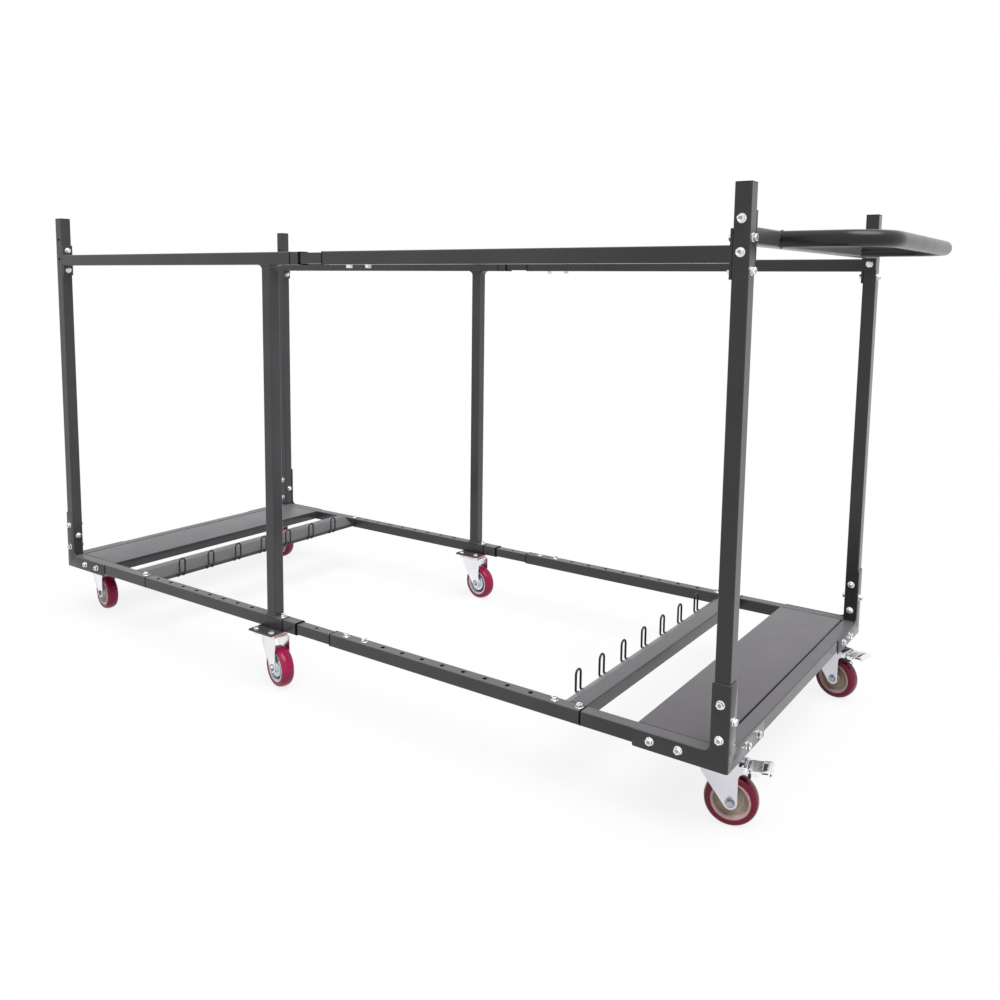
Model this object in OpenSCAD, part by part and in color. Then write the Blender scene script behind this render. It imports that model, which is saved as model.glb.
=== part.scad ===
// Banquet table trolley: a telescoping square-tube frame on six swivel casters.
// Millimetres, +Z up, X along the length with the push handle at +X.
// Origin on the floor, under the middle of the overall box.

/* [Overall] */
// Length over the outer faces of the corner posts
length_over = 2080; // [1980:5:2240]
// Width over the outer faces of the posts
width_over = 880; // [760:5:960]
// Length of each corner post
post_len = 1000; // [850:5:1150]

/* [Tubes] */
// Outside size of the square frame tube
tube = 30; // [28:0.5:32]
// Wall of the frame tube
wall = 2; // [1.5:0.1:2.4]
// Outside corner radius of the frame tube
tube_r = 3; // [2.6:0.1:4]
// Clearance on each side of an inner tube
slide_gap = 0.5; // [0.3:0.1:0.8]
// Least corner radius of a tube's bore
least_r = 0.4; // [0.2:0.1:0.8]

/* [Base ends] */
// Length of the left base side, outer post face to seam
left_base_len = 379; // [340:1:400]
// Length of the right base side, outer post face to seam
right_base_len = 301; // [280:1:330]
// Depth of each deck along the trolley
deck_w = 157; // [120:1:170]
// Black gap between a deck and its end rail
deck_gap = 3; // [1.5:0.5:5]
// Deck sheet thickness
deck_t = 2; // [1.5:0.1:3]
// Clearance of a deck's low edges above the nuts under them
deck_lip_gap = 0.5; // [0.3:0.1:1.5]
// Depth of the down-turned inner edge of a deck
deck_front = 27; // [18:1:29]
// Gap between the tube ends at a seam
seam_gap = 2; // [0.5:0.5:3]

/* [Rails] */
// Length of the left bottom rail, seam to seam
left_rail_len = 557; // [530:1:570]
// Length of the collar on the bottom inner tube
rail_collar = 46; // [20:1:60]
// Length of bottom inner tube that shows
rail_open = 118; // [90:1:140]
// Distance from the left post face to the seam of the top rail
top_seam_in = 979; // [940:1:1000]
// Length of the collar on the top inner tube
top_collar = 29; // [15:1:50]
// Length of top inner tube that shows
top_open = 78; // [70:1:110]
// Length of inner tube held in the left rails
slider_grip = 150; // [90:1:180]
// Length of top inner tube held in the right top rails
slider_reach = 360; // [260:1:380]
// Room past the bottom inner tubes, up to the right spigots
slider_room = 223; // [150:1:260]
// Distance from the left post face to the axis of the mid posts
mid_post_in = 897; // [860:1:905]
// Length of the spigots inside the base seams
spigot_len = 96; // [85:1:100]
// Length of a spigot's root inside the tube that it is welded in
spigot_root = 30; // [20:1:40]
// Depth of the top rails' axis below the post tops
top_rail_drop = 118; // [100:1:140]
// Thickness of the welded end plates
end_plate_t = 4; // [3:0.5:6]
// Height of the welded end plates
end_plate_h = 86; // [78:1:100]

/* [Adjusting holes] */
// Radius of the bolt holes
hole_r = 4.3; // [4.2:0.1:4.8]
// Number of adjusting holes in each left bottom rail
left_holes = 8; // [4:1:8]
// Spacing of the left adjusting holes
left_pitch = 55.5; // [45:0.5:57]
// Distance from the left seam to the first hole
left_hole_in = 41; // [35:1:50]
// Spacing of the right adjusting holes
right_pitch = 57.3; // [50:0.1:60]
// Distance from the right seam to the last hole
right_hole_in = 9; // [7:0.5:14]
// Least distance from a right rail's start to its first hole
right_hole_min = 35; // [20:1:40]
// Distance from the left seam back to the bolt in the base's side
left_lock_in = 16; // [12:1:24]
// Distance from the middle seam back to the bolt beside the mid post
mid_lock_in = 12; // [10:0.5:13]
// Distance from a top right rail's start to its first clamping bolt
top_clamp_in = 70; // [40:1:80]

/* [Corner brackets] */
// Sheet thickness of the corner brackets
bracket_t = 2.5; // [2:0.1:3]
// Reach of a bracket along each rail
bracket_arm = 183; // [165:1:200]
// Height of a bracket above the rail's underside
bracket_up = 161; // [140:1:180]
// Depth of a bracket below the rail's underside
bracket_drop = 4; // [2:0.5:4]
// Inside corner radius of a bracket
bracket_r = 14; // [6:1:20]
// Height of the lower post bolt above the rail's underside
post_bolt_low = 57; // [48:1:64]
// Spacing of the two post bolts of a bracket
post_bolt_gap = 66; // [56:1:72]
// Distance from the post's outer face to the first rail bolt
rail_bolt_in = 92; // [70:1:100]
// Spacing of the rail bolts
rail_bolt_gap = 57; // [40:1:62]

/* [Handle] */
// Depth of the handle's cross tube axis below the post tops
cross_drop = 87; // [75:1:95]
// Spacing of the bolts in an end plate
plate_bolt_gap = 56; // [52:1:64]
// Diameter of the handle's round tube
handle_d = 30; // [25:0.5:32]
// Reach of the handle past the posts
handle_reach = 196; // [150:1:260]
// Distance between the axes of the handle's two arms
handle_span = 560; // [400:5:640]
// Bend radius of the handle, at the tube's axis
handle_bend = 75; // [45:1:90]

/* [Hook bars] */
// Distance from the left seam to the lip of its hook bar
left_bar_in = 14; // [0:1:40]
// Width of a hook bar's flat top
bar_top_w = 36; // [28:1:50]
// Level run of a hook bar's sloping face
bar_slope_w = 34; // [20:1:44]
// Height of the upright lip under the slope
bar_lip_h = 9; // [7:0.5:14]
// Sheet thickness of a hook bar
bar_t = 2; // [1.5:0.1:3]

/* [Table hooks] */
// Number of wire loops on each hook bar
hook_count = 7; // [4:1:8]
// Spacing of the wire loops
hook_pitch = 103; // [60:1:104]
// Wire diameter
hook_wire = 5; // [4:0.5:7]
// Distance between the axes of a loop's legs
hook_leg_gap = 20; // [12:0.5:26]
// Height of a loop above the rail's top
hook_rise = 25; // [15:1:60]
// Clear distance from a bar's lip to the loops
hook_stand_off = 4; // [3.8:0.1:10]

/* [Casters] */
// Wheel diameter
wheel_d = 102; // [94:1:108]
// Tread width
tread_w = 32; // [28:0.5:33]
// Tread thickness, from the core to the running surface
tread_t = 13; // [9:0.5:15]
// Rounding of the tread's edges
tread_r = 8; // [4:0.5:9]
// Width of the wheel's hub
hub_w = 36; // [34:0.5:38]
// Radius of the wheel's hub
hub_r = 14; // [11:0.5:17]
// Thickness of the wheel's web
web_t = 10; // [6:0.5:16]
// Inset of the wheel's rim from the sides of its tread
rim_in = 1; // [0.5:0.5:3]
// Thickness of the wheel's rim
rim_t = 6; // [4:0.5:8]
// Axle radius
axle_r = 4; // [3.5:0.1:4.5]
// Running clearance of the hub on its axle
axle_gap = 0.06; // [0.03:0.01:0.1]
// Side clearance between the hub and the fork
fork_gap = 1; // [0.6:0.1:2]
// Fork sheet thickness
fork_t = 3; // [2.5:0.1:4]
// Radius of the fork's toe round the axle
fork_toe = 13; // [10:0.5:14]
// Angle below level where the fork's sloped edge meets its toe
toe_angle = 37; // [25:1:60]
// Drop of the fork's rear edge below its crown
fork_drop = 26; // [15:1:40]
// Half length of the fork's crown
fork_half = 35; // [30:1:38]
// Trail of the axle behind the swivel axis
caster_trail = 21; // [16:0.5:24]
// Height from the floor to the top of a caster's plate
caster_h = 143; // [136:1:152]
// Caster plate thickness
plate_t = 3.5; // [3:0.1:5]
// Caster plate length along the trolley
plate_l = 72; // [68:1:80]
// Caster plate width across the trolley
plate_w = 95; // [90:1:105]
// Spacing of the caster plate's holes along the trolley
plate_hole_l = 54; // [50:1:56]
// Spacing of the caster plate's holes across the trolley
plate_hole_w = 76; // [70:1:80]
// Radius of the fixed ball race under the caster plate
race_r = 29; // [24:0.5:31]
// Clearance of the fork under the caster bolts
bolt_clear = 1; // [0.5:0.1:3]
// Swivel clearance of the fork under the race
swivel_gap = 0.4; // [0.3:0.1:0.8]
// Radius of the kingpin
kingpin_r = 7; // [5:0.5:9]
// Overhang of the kingpin's head
kingpin_lip = 4; // [3:0.5:6]
// Running clearance of the fork on the kingpin
kingpin_gap = 0.1; // [0.05:0.01:0.1]
// Thickness of the fork's crown
crown_t = 4; // [3:0.5:5]
// Thickness of the kingpin's head
kingpin_head_t = 4; // [3:0.5:5]
// Distance from the posts' outer end faces to the corner swivel axes
caster_in_x = 43; // [42:1:50]
// Distance from the posts' outer side faces to the corner swivel axes
caster_in_y = 87; // [80:1:100]
// Thickness of the black mounting plates
mount_t = 4; // [3:0.5:5]
// Margin of a mounting plate round its caster plate
mount_edge = 5; // [3:0.5:8]
// Turn of the near left caster about its swivel axis, in degrees
near_left_turn = -11; // [-180:1:180]
// Turn of the far left caster about its swivel axis, in degrees
far_left_turn = 2; // [-180:1:180]
// Turn of the near middle caster about its swivel axis, in degrees
near_mid_turn = -16; // [-180:1:180]
// Turn of the far middle caster about its swivel axis, in degrees
far_mid_turn = -10; // [-180:1:180]
// Turn of the near right caster about its swivel axis, in degrees
near_right_turn = 14; // [-180:1:180]
// Turn of the far right caster about its swivel axis, in degrees
far_right_turn = -12; // [-180:1:180]

/* [Brakes] */
// Distance from the swivel axis to the pedal's pivot
pedal_x = 46; // [44:1:50]
// Depth of the pedal's pivot below the top of the fork's crown
pedal_drop = 13; // [11:0.5:14]
// Radius of the pedal's pivot pin
pedal_pin_r = 3; // [2.5:0.1:3.5]
// Wall of the fork's ears round the pivot pin
ear_wall = 4; // [3:0.5:5]
// Running clearance of the pivot pin
pedal_gap = 0.1; // [0.05:0.01:0.1]
// Reach of the pedal past its pivot
pedal_reach = 48; // [40:1:60]
// Pedal width
pedal_w = 34; // [26:1:36]
// Width of the pedal's tread, outside the fork
pedal_tread_w = 46; // [36:1:56]
// Distance from the pedal's pivot to its tread
pedal_tread_in = 12; // [10:1:16]
// Pedal sheet thickness
pedal_t = 3; // [2.5:0.1:4]
// Upward tilt of a released pedal, in degrees
pedal_tilt = 4; // [0:1:6]
// Travel of the pedal from released to pressed, in degrees
pedal_travel = 15; // [12:1:18]
// Depth of the lip at the pedal's end
pedal_lip = 10; // [6:1:14]
// Thickness of the brake shoe
shoe_t = 6; // [4:0.5:7]
// Wall of the pedal's barrel round its pin
barrel_wall = 2; // [1:0.5:3]
// Distance from the pivot's middle to the near face of the brake shoe
shoe_off = 4; // [2:0.5:6]
// Gap between the shoe and the tread with the pedal pressed
shoe_gap = 0.35; // [0.3:0.05:1]

/* [Fasteners] */
// Radius of the bolt shanks
bolt_r = 4; // [3.6:0.1:4]
// Width across the flats of the hex heads and nuts
hex_af = 13; // [12:0.5:14]
// Height of the hex heads
hex_h = 5.5; // [4:0.5:6]
// Height of the nuts
nut_h = 6.5; // [5:0.5:7]
// Length of a shank past its nut
shank_over = 1; // [0.5:0.1:2]
// Radius of the bolts' flanges
flange_r = 8.5; // [8:0.1:9]
// Thickness of the bolts' flanges
flange_t = 1.6; // [1:0.1:2]
// Gap between a clamping bolt's tip and the inner tube
clamp_gap = 0.3; // [0.2:0.1:0.4]
// Clearance of a nut round its shank
nut_gap = 0.1; // [0.05:0.01:0.15]

/* [Post caps] */
// Thickness of a post cap's top
cap_t = 2; // [1.5:0.5:4]
// Depth of a post cap's plug
cap_plug = 15; // [8:1:25]
// Clearance of the plug in its post
cap_gap = 0.2; // [0.1:0.05:0.4]

/* [Hidden] */
$fn = 48;
cut = 1;
x_left = -length_over / 2;
x_right = length_over / 2;
y_near = -width_over / 2;
head_h = flange_t + hex_h;
x_shift = (x_right + handle_reach + x_left - bracket_t - head_h) / 2;

rail_z0 = caster_h + mount_t;
rail_z = rail_z0 + tube / 2;
rail_top = rail_z0 + tube;
rail_y = y_near + tube / 2;
post_top = rail_top + post_len;
top_rail_z = post_top - top_rail_drop;
cross_z = post_top - cross_drop;
bore = tube - 2 * wall;
inner = bore - 2 * slide_gap;
inner_r = max(tube_r - wall - slide_gap, least_r);
bore_r = max(tube_r - wall, least_r);
deck_lip = tube / 2 - flange_r - deck_lip_gap;

left_seam = x_left + left_base_len;
right_seam = x_right - right_base_len;
mid_seam = left_seam + left_rail_len;
rail_start = mid_seam + rail_collar + rail_open;
right_rail_len = right_seam - rail_start;
top_seam = x_left + top_seam_in;
top_start = top_seam + top_collar + top_open;
mid_x = x_left + mid_post_in;
rail_reach = right_seam - spigot_len - slider_room - rail_start;
bar_w = bar_top_w + bar_slope_w;
bar_slope = atan2(tube - bar_lip_h, bar_slope_w);
left_bar_x = left_seam - left_bar_in - bar_w;
right_bar_x = right_seam - seam_gap;
left_hole_x = [for (i = [0:left_holes - 1]) left_seam + left_hole_in + i * left_pitch];
right_hole_n = floor((right_rail_len - right_hole_in - right_hole_min) / right_pitch) + 1;
right_hole_x = [for (i = [0:right_hole_n - 1]) right_seam - right_hole_in - i * right_pitch];
left_lock_x = left_seam - left_lock_in;
mid_lock_x = mid_seam - mid_lock_in;
clamp_x = [right_hole_x[right_hole_n - 1], right_hole_x[right_hole_n - 2]];
spigot_bolt_x = [right_hole_x[0], right_hole_x[1]];
top_clamp_x = [top_start + top_clamp_in, top_start + top_clamp_in + right_pitch];
clamp_len = wall + slide_gap - clamp_gap;
tapped_len = wall + slide_gap + wall;

bracket_z0 = rail_z0 - bracket_drop;
post_bolt_z = [rail_z0 + post_bolt_low, rail_z0 + post_bolt_low + post_bolt_gap];
end_bolt_z = rail_z0 + post_bolt_low + post_bolt_gap / 2;
rail_bolt_d = [rail_bolt_in, rail_bolt_in + rail_bolt_gap];

corner_caster_x = x_right - caster_in_x;
corner_caster_y = y_near + caster_in_y;
wheel_r = wheel_d / 2;
core_r = wheel_r - tread_t;
plate_z0 = caster_h - plate_t;
crown_z1 = plate_z0 - max(head_h, nut_h + shank_over) - bolt_clear;
race_z0 = crown_z1 + swivel_gap;
crown_z0 = crown_z1 - crown_t;
fork_in = hub_w / 2 + fork_gap;
fork_out = fork_in + fork_t;
pedal_z = crown_z1 - pedal_drop;
shoe_a = pedal_x - caster_trail + shoe_off * cos(pedal_travel);
shoe_b = pedal_z - wheel_r - shoe_off * sin(pedal_travel);
shoe_c = shoe_a * sin(pedal_travel) + shoe_b * cos(pedal_travel);
shoe_len = shoe_c - sqrt(shoe_c ^ 2 - shoe_a ^ 2 - shoe_b ^ 2 + (wheel_r + shoe_gap) ^ 2);
plate_holes = [for (i = [-1, 1], j = [-1, 1]) [i * plate_hole_l / 2, j * plate_hole_w / 2]];

charcoal = [0.22, 0.21, 0.22];
zinc = [0.80, 0.81, 0.83];
maroon = [0.48, 0.10, 0.18];
cream = [0.86, 0.80, 0.74];
black = [0.06, 0.06, 0.06];

// Shared shapes

// Square with round corners, centred
module round_square(size, r) {
    square([size, size - 2 * r], center = true);
    square([size - 2 * r, size], center = true);
    for (i = [-1, 1], j = [-1, 1])
        translate([i * (size / 2 - r), j * (size / 2 - r)]) circle(r);
}

// Section of a square tube
module tube_section(size, w, r, ri) {
    difference() {
        round_square(size, r);
        round_square(size - 2 * w, ri);
    }
}

// Square tube along +X, +Y or +Z from its start point, on the given axis
module tube_x(len) {
    rotate([90, 0, 90]) linear_extrude(len) tube_section(tube, wall, tube_r, bore_r);
}

module tube_y(len) {
    rotate([-90, 0, 0]) linear_extrude(len) tube_section(tube, wall, tube_r, bore_r);
}

module tube_z(len) {
    linear_extrude(len) tube_section(tube, wall, tube_r, bore_r);
}

// Inner tube that slides or plugs into a frame tube
module inner_x(len) {
    rotate([90, 0, 90]) linear_extrude(len) tube_section(inner, wall, inner_r, inner_r);
}

// Solid block that fills a frame tube's bore, the weld at a spigot's root
module bore_block_x(len) {
    rotate([90, 0, 90]) linear_extrude(len) round_square(bore, bore_r);
}

// Hex flange bolt, head above z = 0, shank below
module bolt(len) {
    cylinder(h = flange_t, r = flange_r);
    translate([0, 0, flange_t]) cylinder(h = hex_h, d = hex_af / cos(30), $fn = 6);
    translate([0, 0, -len]) cylinder(h = len, r = bolt_r);
}

// Hex flange nut standing on z = 0
module nut() {
    difference() {
        union() {
            cylinder(h = flange_t, r = flange_r);
            translate([0, 0, flange_t]) cylinder(h = nut_h - flange_t, d = hex_af / cos(30), $fn = 6);
        }
        translate([0, 0, -cut]) cylinder(h = nut_h + 2 * cut, r = bolt_r + nut_gap);
    }
}

// Bolt and nut that clamp a stack of the given thickness below z = 0
module bolt_and_nut(grip) {
    bolt(grip + nut_h + shank_over);
    translate([0, 0, -grip]) mirror([0, 0, 1]) nut();
}

// Turns a bolt so that its head faces -Y or +X
module face_near() {
    rotate([90, 0, 0]) children();
}

module face_right() {
    rotate([0, 90, 0]) children();
}

// Bolt holes, through a tube across or along the trolley, and down from a face
module hole_y(p) {
    translate(p) rotate([90, 0, 0]) cylinder(h = 2 * tube, r = hole_r, center = true);
}

module hole_x(p) {
    translate(p) rotate([0, 90, 0]) cylinder(h = 2 * tube, r = hole_r, center = true);
}

module hole_top(p, depth) {
    translate([p[0], p[1], p[2] - depth]) cylinder(h = depth + cut, r = hole_r);
}

// Moves the finished model so that its origin lies under the box's middle
module placed() {
    translate([-x_shift, 0, 0]) children();
}

// One near-side solid, or its twin on the far side
module side(s) {
    if (s < 0) children();
    else mirror([0, 1, 0]) children();
}

module both_sides() {
    for (s = [-1, 1]) side(s) children();
}

// The end at +X, or its twin at -X
module end(e) {
    if (e > 0) children();
    else mirror([1, 0, 0]) children();
}

// Base ends

// Black plate under a base corner that carries a caster, for the +X end
module corner_mount() {
    x0 = corner_caster_x - plate_l / 2 - mount_edge;
    y1 = corner_caster_y + plate_w / 2 + mount_edge;
    difference() {
        translate([x0, y_near + wall, caster_h])
            cube([x_right - wall - x0, y1 - y_near - wall, mount_t]);
        for (h = plate_holes)
            hole_top([corner_caster_x + h[0], corner_caster_y + h[1], rail_z0], mount_t + cut);
    }
}

// U-shaped base of one end, with its two caster mounts
module base_frame(e, len) {
    seam = x_right - len;
    difference() {
        union() {
            translate([x_right - tube / 2, y_near + tube, rail_z]) tube_y(width_over - 2 * tube);
            both_sides() translate([seam, rail_y, rail_z]) tube_x(len);
            both_sides() corner_mount();
        }
        both_sides() for (d = rail_bolt_d) {
            hole_y([x_right - d, rail_y, rail_z]);
            hole_x([x_right - tube / 2, y_near + d, rail_z]);
        }
        both_sides() translate([corner_caster_x, corner_caster_y, rail_z0 + wall + cut])
            for (h = plate_holes)
                hole_top([h[0], h[1], 0], wall + mount_t + 2 * cut);
        if (e < 0)
            both_sides() hole_top([-left_lock_x, rail_y, rail_top], wall + cut);
    }
}

module left_base_frame() {
    color(charcoal) placed() end(-1) base_frame(-1, left_base_len);
}

module right_base_frame() {
    color(charcoal) placed() {
        base_frame(1, right_base_len);
        both_sides() difference() {
            union() {
                translate([right_seam, rail_y, rail_z]) bore_block_x(spigot_root);
                translate([right_seam - spigot_len, rail_y, rail_z]) inner_x(spigot_len);
            }
            for (x = spigot_bolt_x)
                hole_top([x, rail_y, rail_top], tapped_len + cut);
        }
    }
}

// Deck tray of the +X end, welded between the side rails
module deck() {
    x1 = x_right - tube - deck_gap;
    x0 = x1 - deck_w;
    y0 = y_near + tube;
    y_len = width_over - 2 * tube;
    translate([x0, y0, rail_top - deck_t]) cube([deck_w, y_len, deck_t]);
    translate([x0, y0, rail_top - deck_front]) cube([deck_t, y_len, deck_front - deck_t]);
    translate([x1 - deck_t, y0, rail_top - deck_lip]) cube([deck_t, y_len, deck_lip - deck_t]);
    both_sides() translate([x0 + deck_t, y0, rail_top - deck_lip])
        cube([deck_w - 2 * deck_t, deck_t, deck_lip - deck_t]);
}

module left_deck() {
    color(charcoal) placed() end(-1) deck();
}

module right_deck() {
    color(charcoal) placed() deck();
}

// Table hooks

// Section of a formed bar: back, flat top, slope towards the bay and lip
module bar_section() {
    top_in = bar_t * tan(bar_slope / 2);
    lip_in = bar_t * tan((90 - bar_slope) / 2);
    polygon([
        [0, 0], [0, tube], [bar_top_w, tube], [bar_w, bar_lip_h], [bar_w, 0],
        [bar_w - bar_t, 0], [bar_w - bar_t, bar_lip_h - lip_in],
        [bar_top_w - top_in, tube - bar_t], [bar_t, tube - bar_t], [bar_t, 0]
    ]);
}

// Bar of the -X end, welded between the sides, with its back at X = 0
module hook_bar() {
    translate([0, -y_near - tube, rail_z0]) rotate([90, 0, 0])
        linear_extrude(width_over - 2 * tube) bar_section();
}

module left_hook_bar() {
    color(charcoal) placed() translate([left_bar_x, 0, 0]) hook_bar();
}

module right_hook_bar() {
    color(charcoal) placed() translate([right_bar_x, 0, 0]) end(-1) hook_bar();
}

// One hairpin loop in front of a bar's lip, with both feet welded to the lip
module hook_loop() {
    leg_x = bar_w + hook_stand_off + hook_wire / 2;
    foot_z = rail_z0 + bar_lip_h / 2;
    bend = hook_wire;
    arc_z = rail_top + hook_rise - hook_wire / 2 - hook_leg_gap / 2;
    translate([leg_x, 0, arc_z]) rotate([90, 0, 90])
        rotate_extrude(angle = 180) translate([hook_leg_gap / 2, 0]) circle(d = hook_wire);
    for (s = [-1, 1]) translate([0, s * hook_leg_gap / 2, 0]) {
        translate([leg_x, 0, foot_z + bend])
            cylinder(h = arc_z - foot_z - bend, d = hook_wire);
        translate([leg_x - bend, 0, foot_z + bend]) rotate([90, 0, 0]) rotate([0, 0, 270])
            rotate_extrude(angle = 90) translate([bend, 0]) circle(d = hook_wire);
        translate([bar_w, 0, foot_z]) rotate([0, 90, 0])
            cylinder(h = leg_x - bend - bar_w, d = hook_wire);
    }
}

module hook_row() {
    for (i = [0:hook_count - 1])
        translate([0, (i - (hook_count - 1) / 2) * hook_pitch, 0]) hook_loop();
}

module left_table_hooks() {
    color(black) placed() translate([left_bar_x, 0, 0]) hook_row();
}

module right_table_hooks() {
    color(black) placed() translate([right_bar_x, 0, 0]) end(-1) hook_row();
}

// Posts

// Corner post of the +X end on the near side
module post() {
    px = x_right - tube / 2;
    difference() {
        translate([px, rail_y, rail_top]) tube_z(post_len);
        for (z = post_bolt_z) hole_y([px, rail_y, z]);
        hole_x([px, rail_y, end_bolt_z]);
        for (s = [-1, 1]) {
            hole_x([px, rail_y, top_rail_z + s * plate_bolt_gap / 2]);
            hole_y([px, rail_y, cross_z + s * plate_bolt_gap / 2]);
        }
    }
}

module near_left_post() {
    color(charcoal) placed() end(-1) post();
}

module far_left_post() {
    color(charcoal) placed() side(1) end(-1) post();
}

module near_right_post() {
    color(charcoal) placed() post();
}

module far_right_post() {
    color(charcoal) placed() side(1) post();
}

// Push-in cap of a post
module post_cap() {
    plug = bore - 2 * cap_gap;
    translate([x_right - tube / 2, rail_y, post_top]) {
        linear_extrude(cap_t) round_square(tube, tube_r);
        translate([0, 0, -cap_plug]) linear_extrude(cap_plug) round_square(plug, bore_r);
    }
}

module left_post_caps() {
    color(black) placed() both_sides() end(-1) post_cap();
}

module right_post_caps() {
    color(black) placed() both_sides() post_cap();
}

module mid_post() {
    translate([mid_x, rail_y, rail_top]) tube_z(top_rail_z - tube / 2 - rail_top);
}

module near_mid_post() {
    color(charcoal) placed() mid_post();
}

module far_mid_post() {
    color(charcoal) placed() side(1) mid_post();
}

// Corner brackets

// L-shaped outline of one bracket plate, with a round inside corner
module bracket_outline() {
    leg = tube + bracket_drop;
    square([bracket_arm, leg]);
    square([tube, bracket_up + bracket_drop]);
    difference() {
        translate([tube, leg]) square(bracket_r);
        translate([tube + bracket_r, leg + bracket_r]) circle(bracket_r);
    }
}

// Bent bracket of the near +X corner
module bracket() {
    difference() {
        union() {
            translate([x_right, y_near, bracket_z0]) mirror([1, 0, 0])
                rotate([90, 0, 0]) linear_extrude(bracket_t) bracket_outline();
            translate([x_right, y_near, bracket_z0])
                rotate([90, 0, 90]) linear_extrude(bracket_t) bracket_outline();
            translate([x_right, y_near - bracket_t, bracket_z0])
                cube([bracket_t, bracket_t, bracket_up + bracket_drop]);
        }
        for (z = post_bolt_z) hole_y([x_right - tube / 2, y_near, z]);
        hole_x([x_right, rail_y, end_bolt_z]);
        for (d = rail_bolt_d) {
            hole_y([x_right - d, y_near, rail_z]);
            hole_x([x_right, y_near + d, rail_z]);
        }
    }
}

module left_brackets() {
    color(charcoal) placed() both_sides() end(-1) bracket();
}

module right_brackets() {
    color(charcoal) placed() both_sides() bracket();
}

// Bottom rails

// Black plate under a mid post that carries a caster
module mid_mount() {
    l = plate_l + 2 * mount_edge;
    w = plate_w + 2 * mount_edge;
    difference() {
        translate([mid_x - l / 2, rail_y - w / 2, caster_h]) cube([l, w, mount_t]);
        for (h = plate_holes)
            hole_top([mid_x + h[0], rail_y + h[1], rail_z0], mount_t + cut);
    }
}

module left_rail() {
    rail_x0 = left_seam + seam_gap;
    difference() {
        union() {
            translate([rail_x0, rail_y, rail_z]) tube_x(left_rail_len - seam_gap);
            translate([rail_x0, rail_y, rail_z]) bore_block_x(spigot_root);
            translate([left_seam - spigot_len, rail_y, rail_z]) inner_x(spigot_len + seam_gap);
            mid_mount();
        }
        for (x = left_hole_x)
            hole_top([x, rail_y, rail_top], wall + cut);
        hole_top([mid_lock_x, rail_y, rail_top], wall + cut);
        hole_top([left_lock_x, rail_y, rail_top], tapped_len + cut);
    }
}

module near_left_rail() {
    color(charcoal) placed() left_rail();
}

module far_left_rail() {
    color(charcoal) placed() side(1) left_rail();
}

module right_rail() {
    difference() {
        translate([rail_start, rail_y, rail_z]) tube_x(right_rail_len - seam_gap);
        for (x = right_hole_x)
            hole_top([x, rail_y, rail_top], wall + cut);
    }
}

module near_right_rail() {
    color(charcoal) placed() right_rail();
}

module far_right_rail() {
    color(charcoal) placed() side(1) right_rail();
}

// Inner tube with a stop collar, from the left rail into the right one
module slider(seam, collar, open, reach, z) {
    translate([seam + seam_gap, rail_y, z]) tube_x(collar - seam_gap);
    translate([seam + seam_gap, rail_y, z]) bore_block_x(collar - seam_gap);
    translate([seam - slider_grip, rail_y, z]) inner_x(slider_grip + seam_gap);
    translate([seam + collar, rail_y, z]) inner_x(open + reach);
}

module rail_slider() {
    difference() {
        slider(mid_seam, rail_collar, rail_open, rail_reach, rail_z);
        hole_top([mid_lock_x, rail_y, rail_top], tapped_len + cut);
        hole_top([mid_seam + rail_collar + rail_open / 2, rail_y, rail_top], tapped_len + cut);
    }
}

module rail_sliders() {
    color(charcoal) placed() both_sides() rail_slider();
}

// Top rails

module end_plate() {
    difference() {
        translate([0, -tube / 2, -end_plate_h / 2]) cube([end_plate_t, tube, end_plate_h]);
        for (s = [-1, 1]) hole_x([0, 0, s * plate_bolt_gap / 2]);
    }
}

module left_top_rail() {
    x0 = x_left + tube + end_plate_t;
    translate([x_left + tube, rail_y, top_rail_z]) end_plate();
    translate([x0, rail_y, top_rail_z]) tube_x(top_seam - x0);
}

module near_left_top_rail() {
    color(charcoal) placed() left_top_rail();
}

module far_left_top_rail() {
    color(charcoal) placed() side(1) left_top_rail();
}

module right_top_rail() {
    x1 = x_right - tube - end_plate_t;
    translate([x1, rail_y, top_rail_z]) end_plate();
    difference() {
        translate([top_start, rail_y, top_rail_z]) tube_x(x1 - top_start);
        for (x = top_clamp_x) translate([x, rail_y, top_rail_z - tube / 2 - cut])
            cylinder(h = wall + 2 * cut, r = hole_r);
    }
}

module near_right_top_rail() {
    color(charcoal) placed() right_top_rail();
}

module far_right_top_rail() {
    color(charcoal) placed() side(1) right_top_rail();
}

module top_sliders() {
    color(charcoal) placed() both_sides()
        slider(top_seam, top_collar, top_open, slider_reach, top_rail_z);
}

// Handle

module handle_cross_tube() {
    x = x_right - tube / 2;
    y0 = y_near + tube;
    color(charcoal) placed() {
        both_sides() translate([x, y0, cross_z]) rotate([0, 0, 90]) end_plate();
        translate([x, y0 + end_plate_t, cross_z]) tube_y(width_over - 2 * tube - 2 * end_plate_t);
    }
}

module ring() {
    difference() {
        circle(d = handle_d);
        circle(d = handle_d - 2 * wall);
    }
}

module push_handle() {
    grip_x = x_right + handle_reach - handle_d / 2;
    arm_y = -handle_span / 2;
    color(charcoal) placed() translate([0, 0, cross_z]) {
        both_sides() {
            translate([x_right, arm_y, 0]) rotate([90, 0, 90])
                linear_extrude(grip_x - handle_bend - x_right) ring();
            translate([grip_x - handle_bend, arm_y + handle_bend, 0]) rotate([0, 0, -90])
                rotate_extrude(angle = 90) translate([handle_bend, 0]) ring();
        }
        translate([grip_x, arm_y + handle_bend, 0]) rotate([-90, 0, 0])
            linear_extrude(handle_span - 2 * handle_bend) ring();
    }
}

// Fasteners

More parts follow.
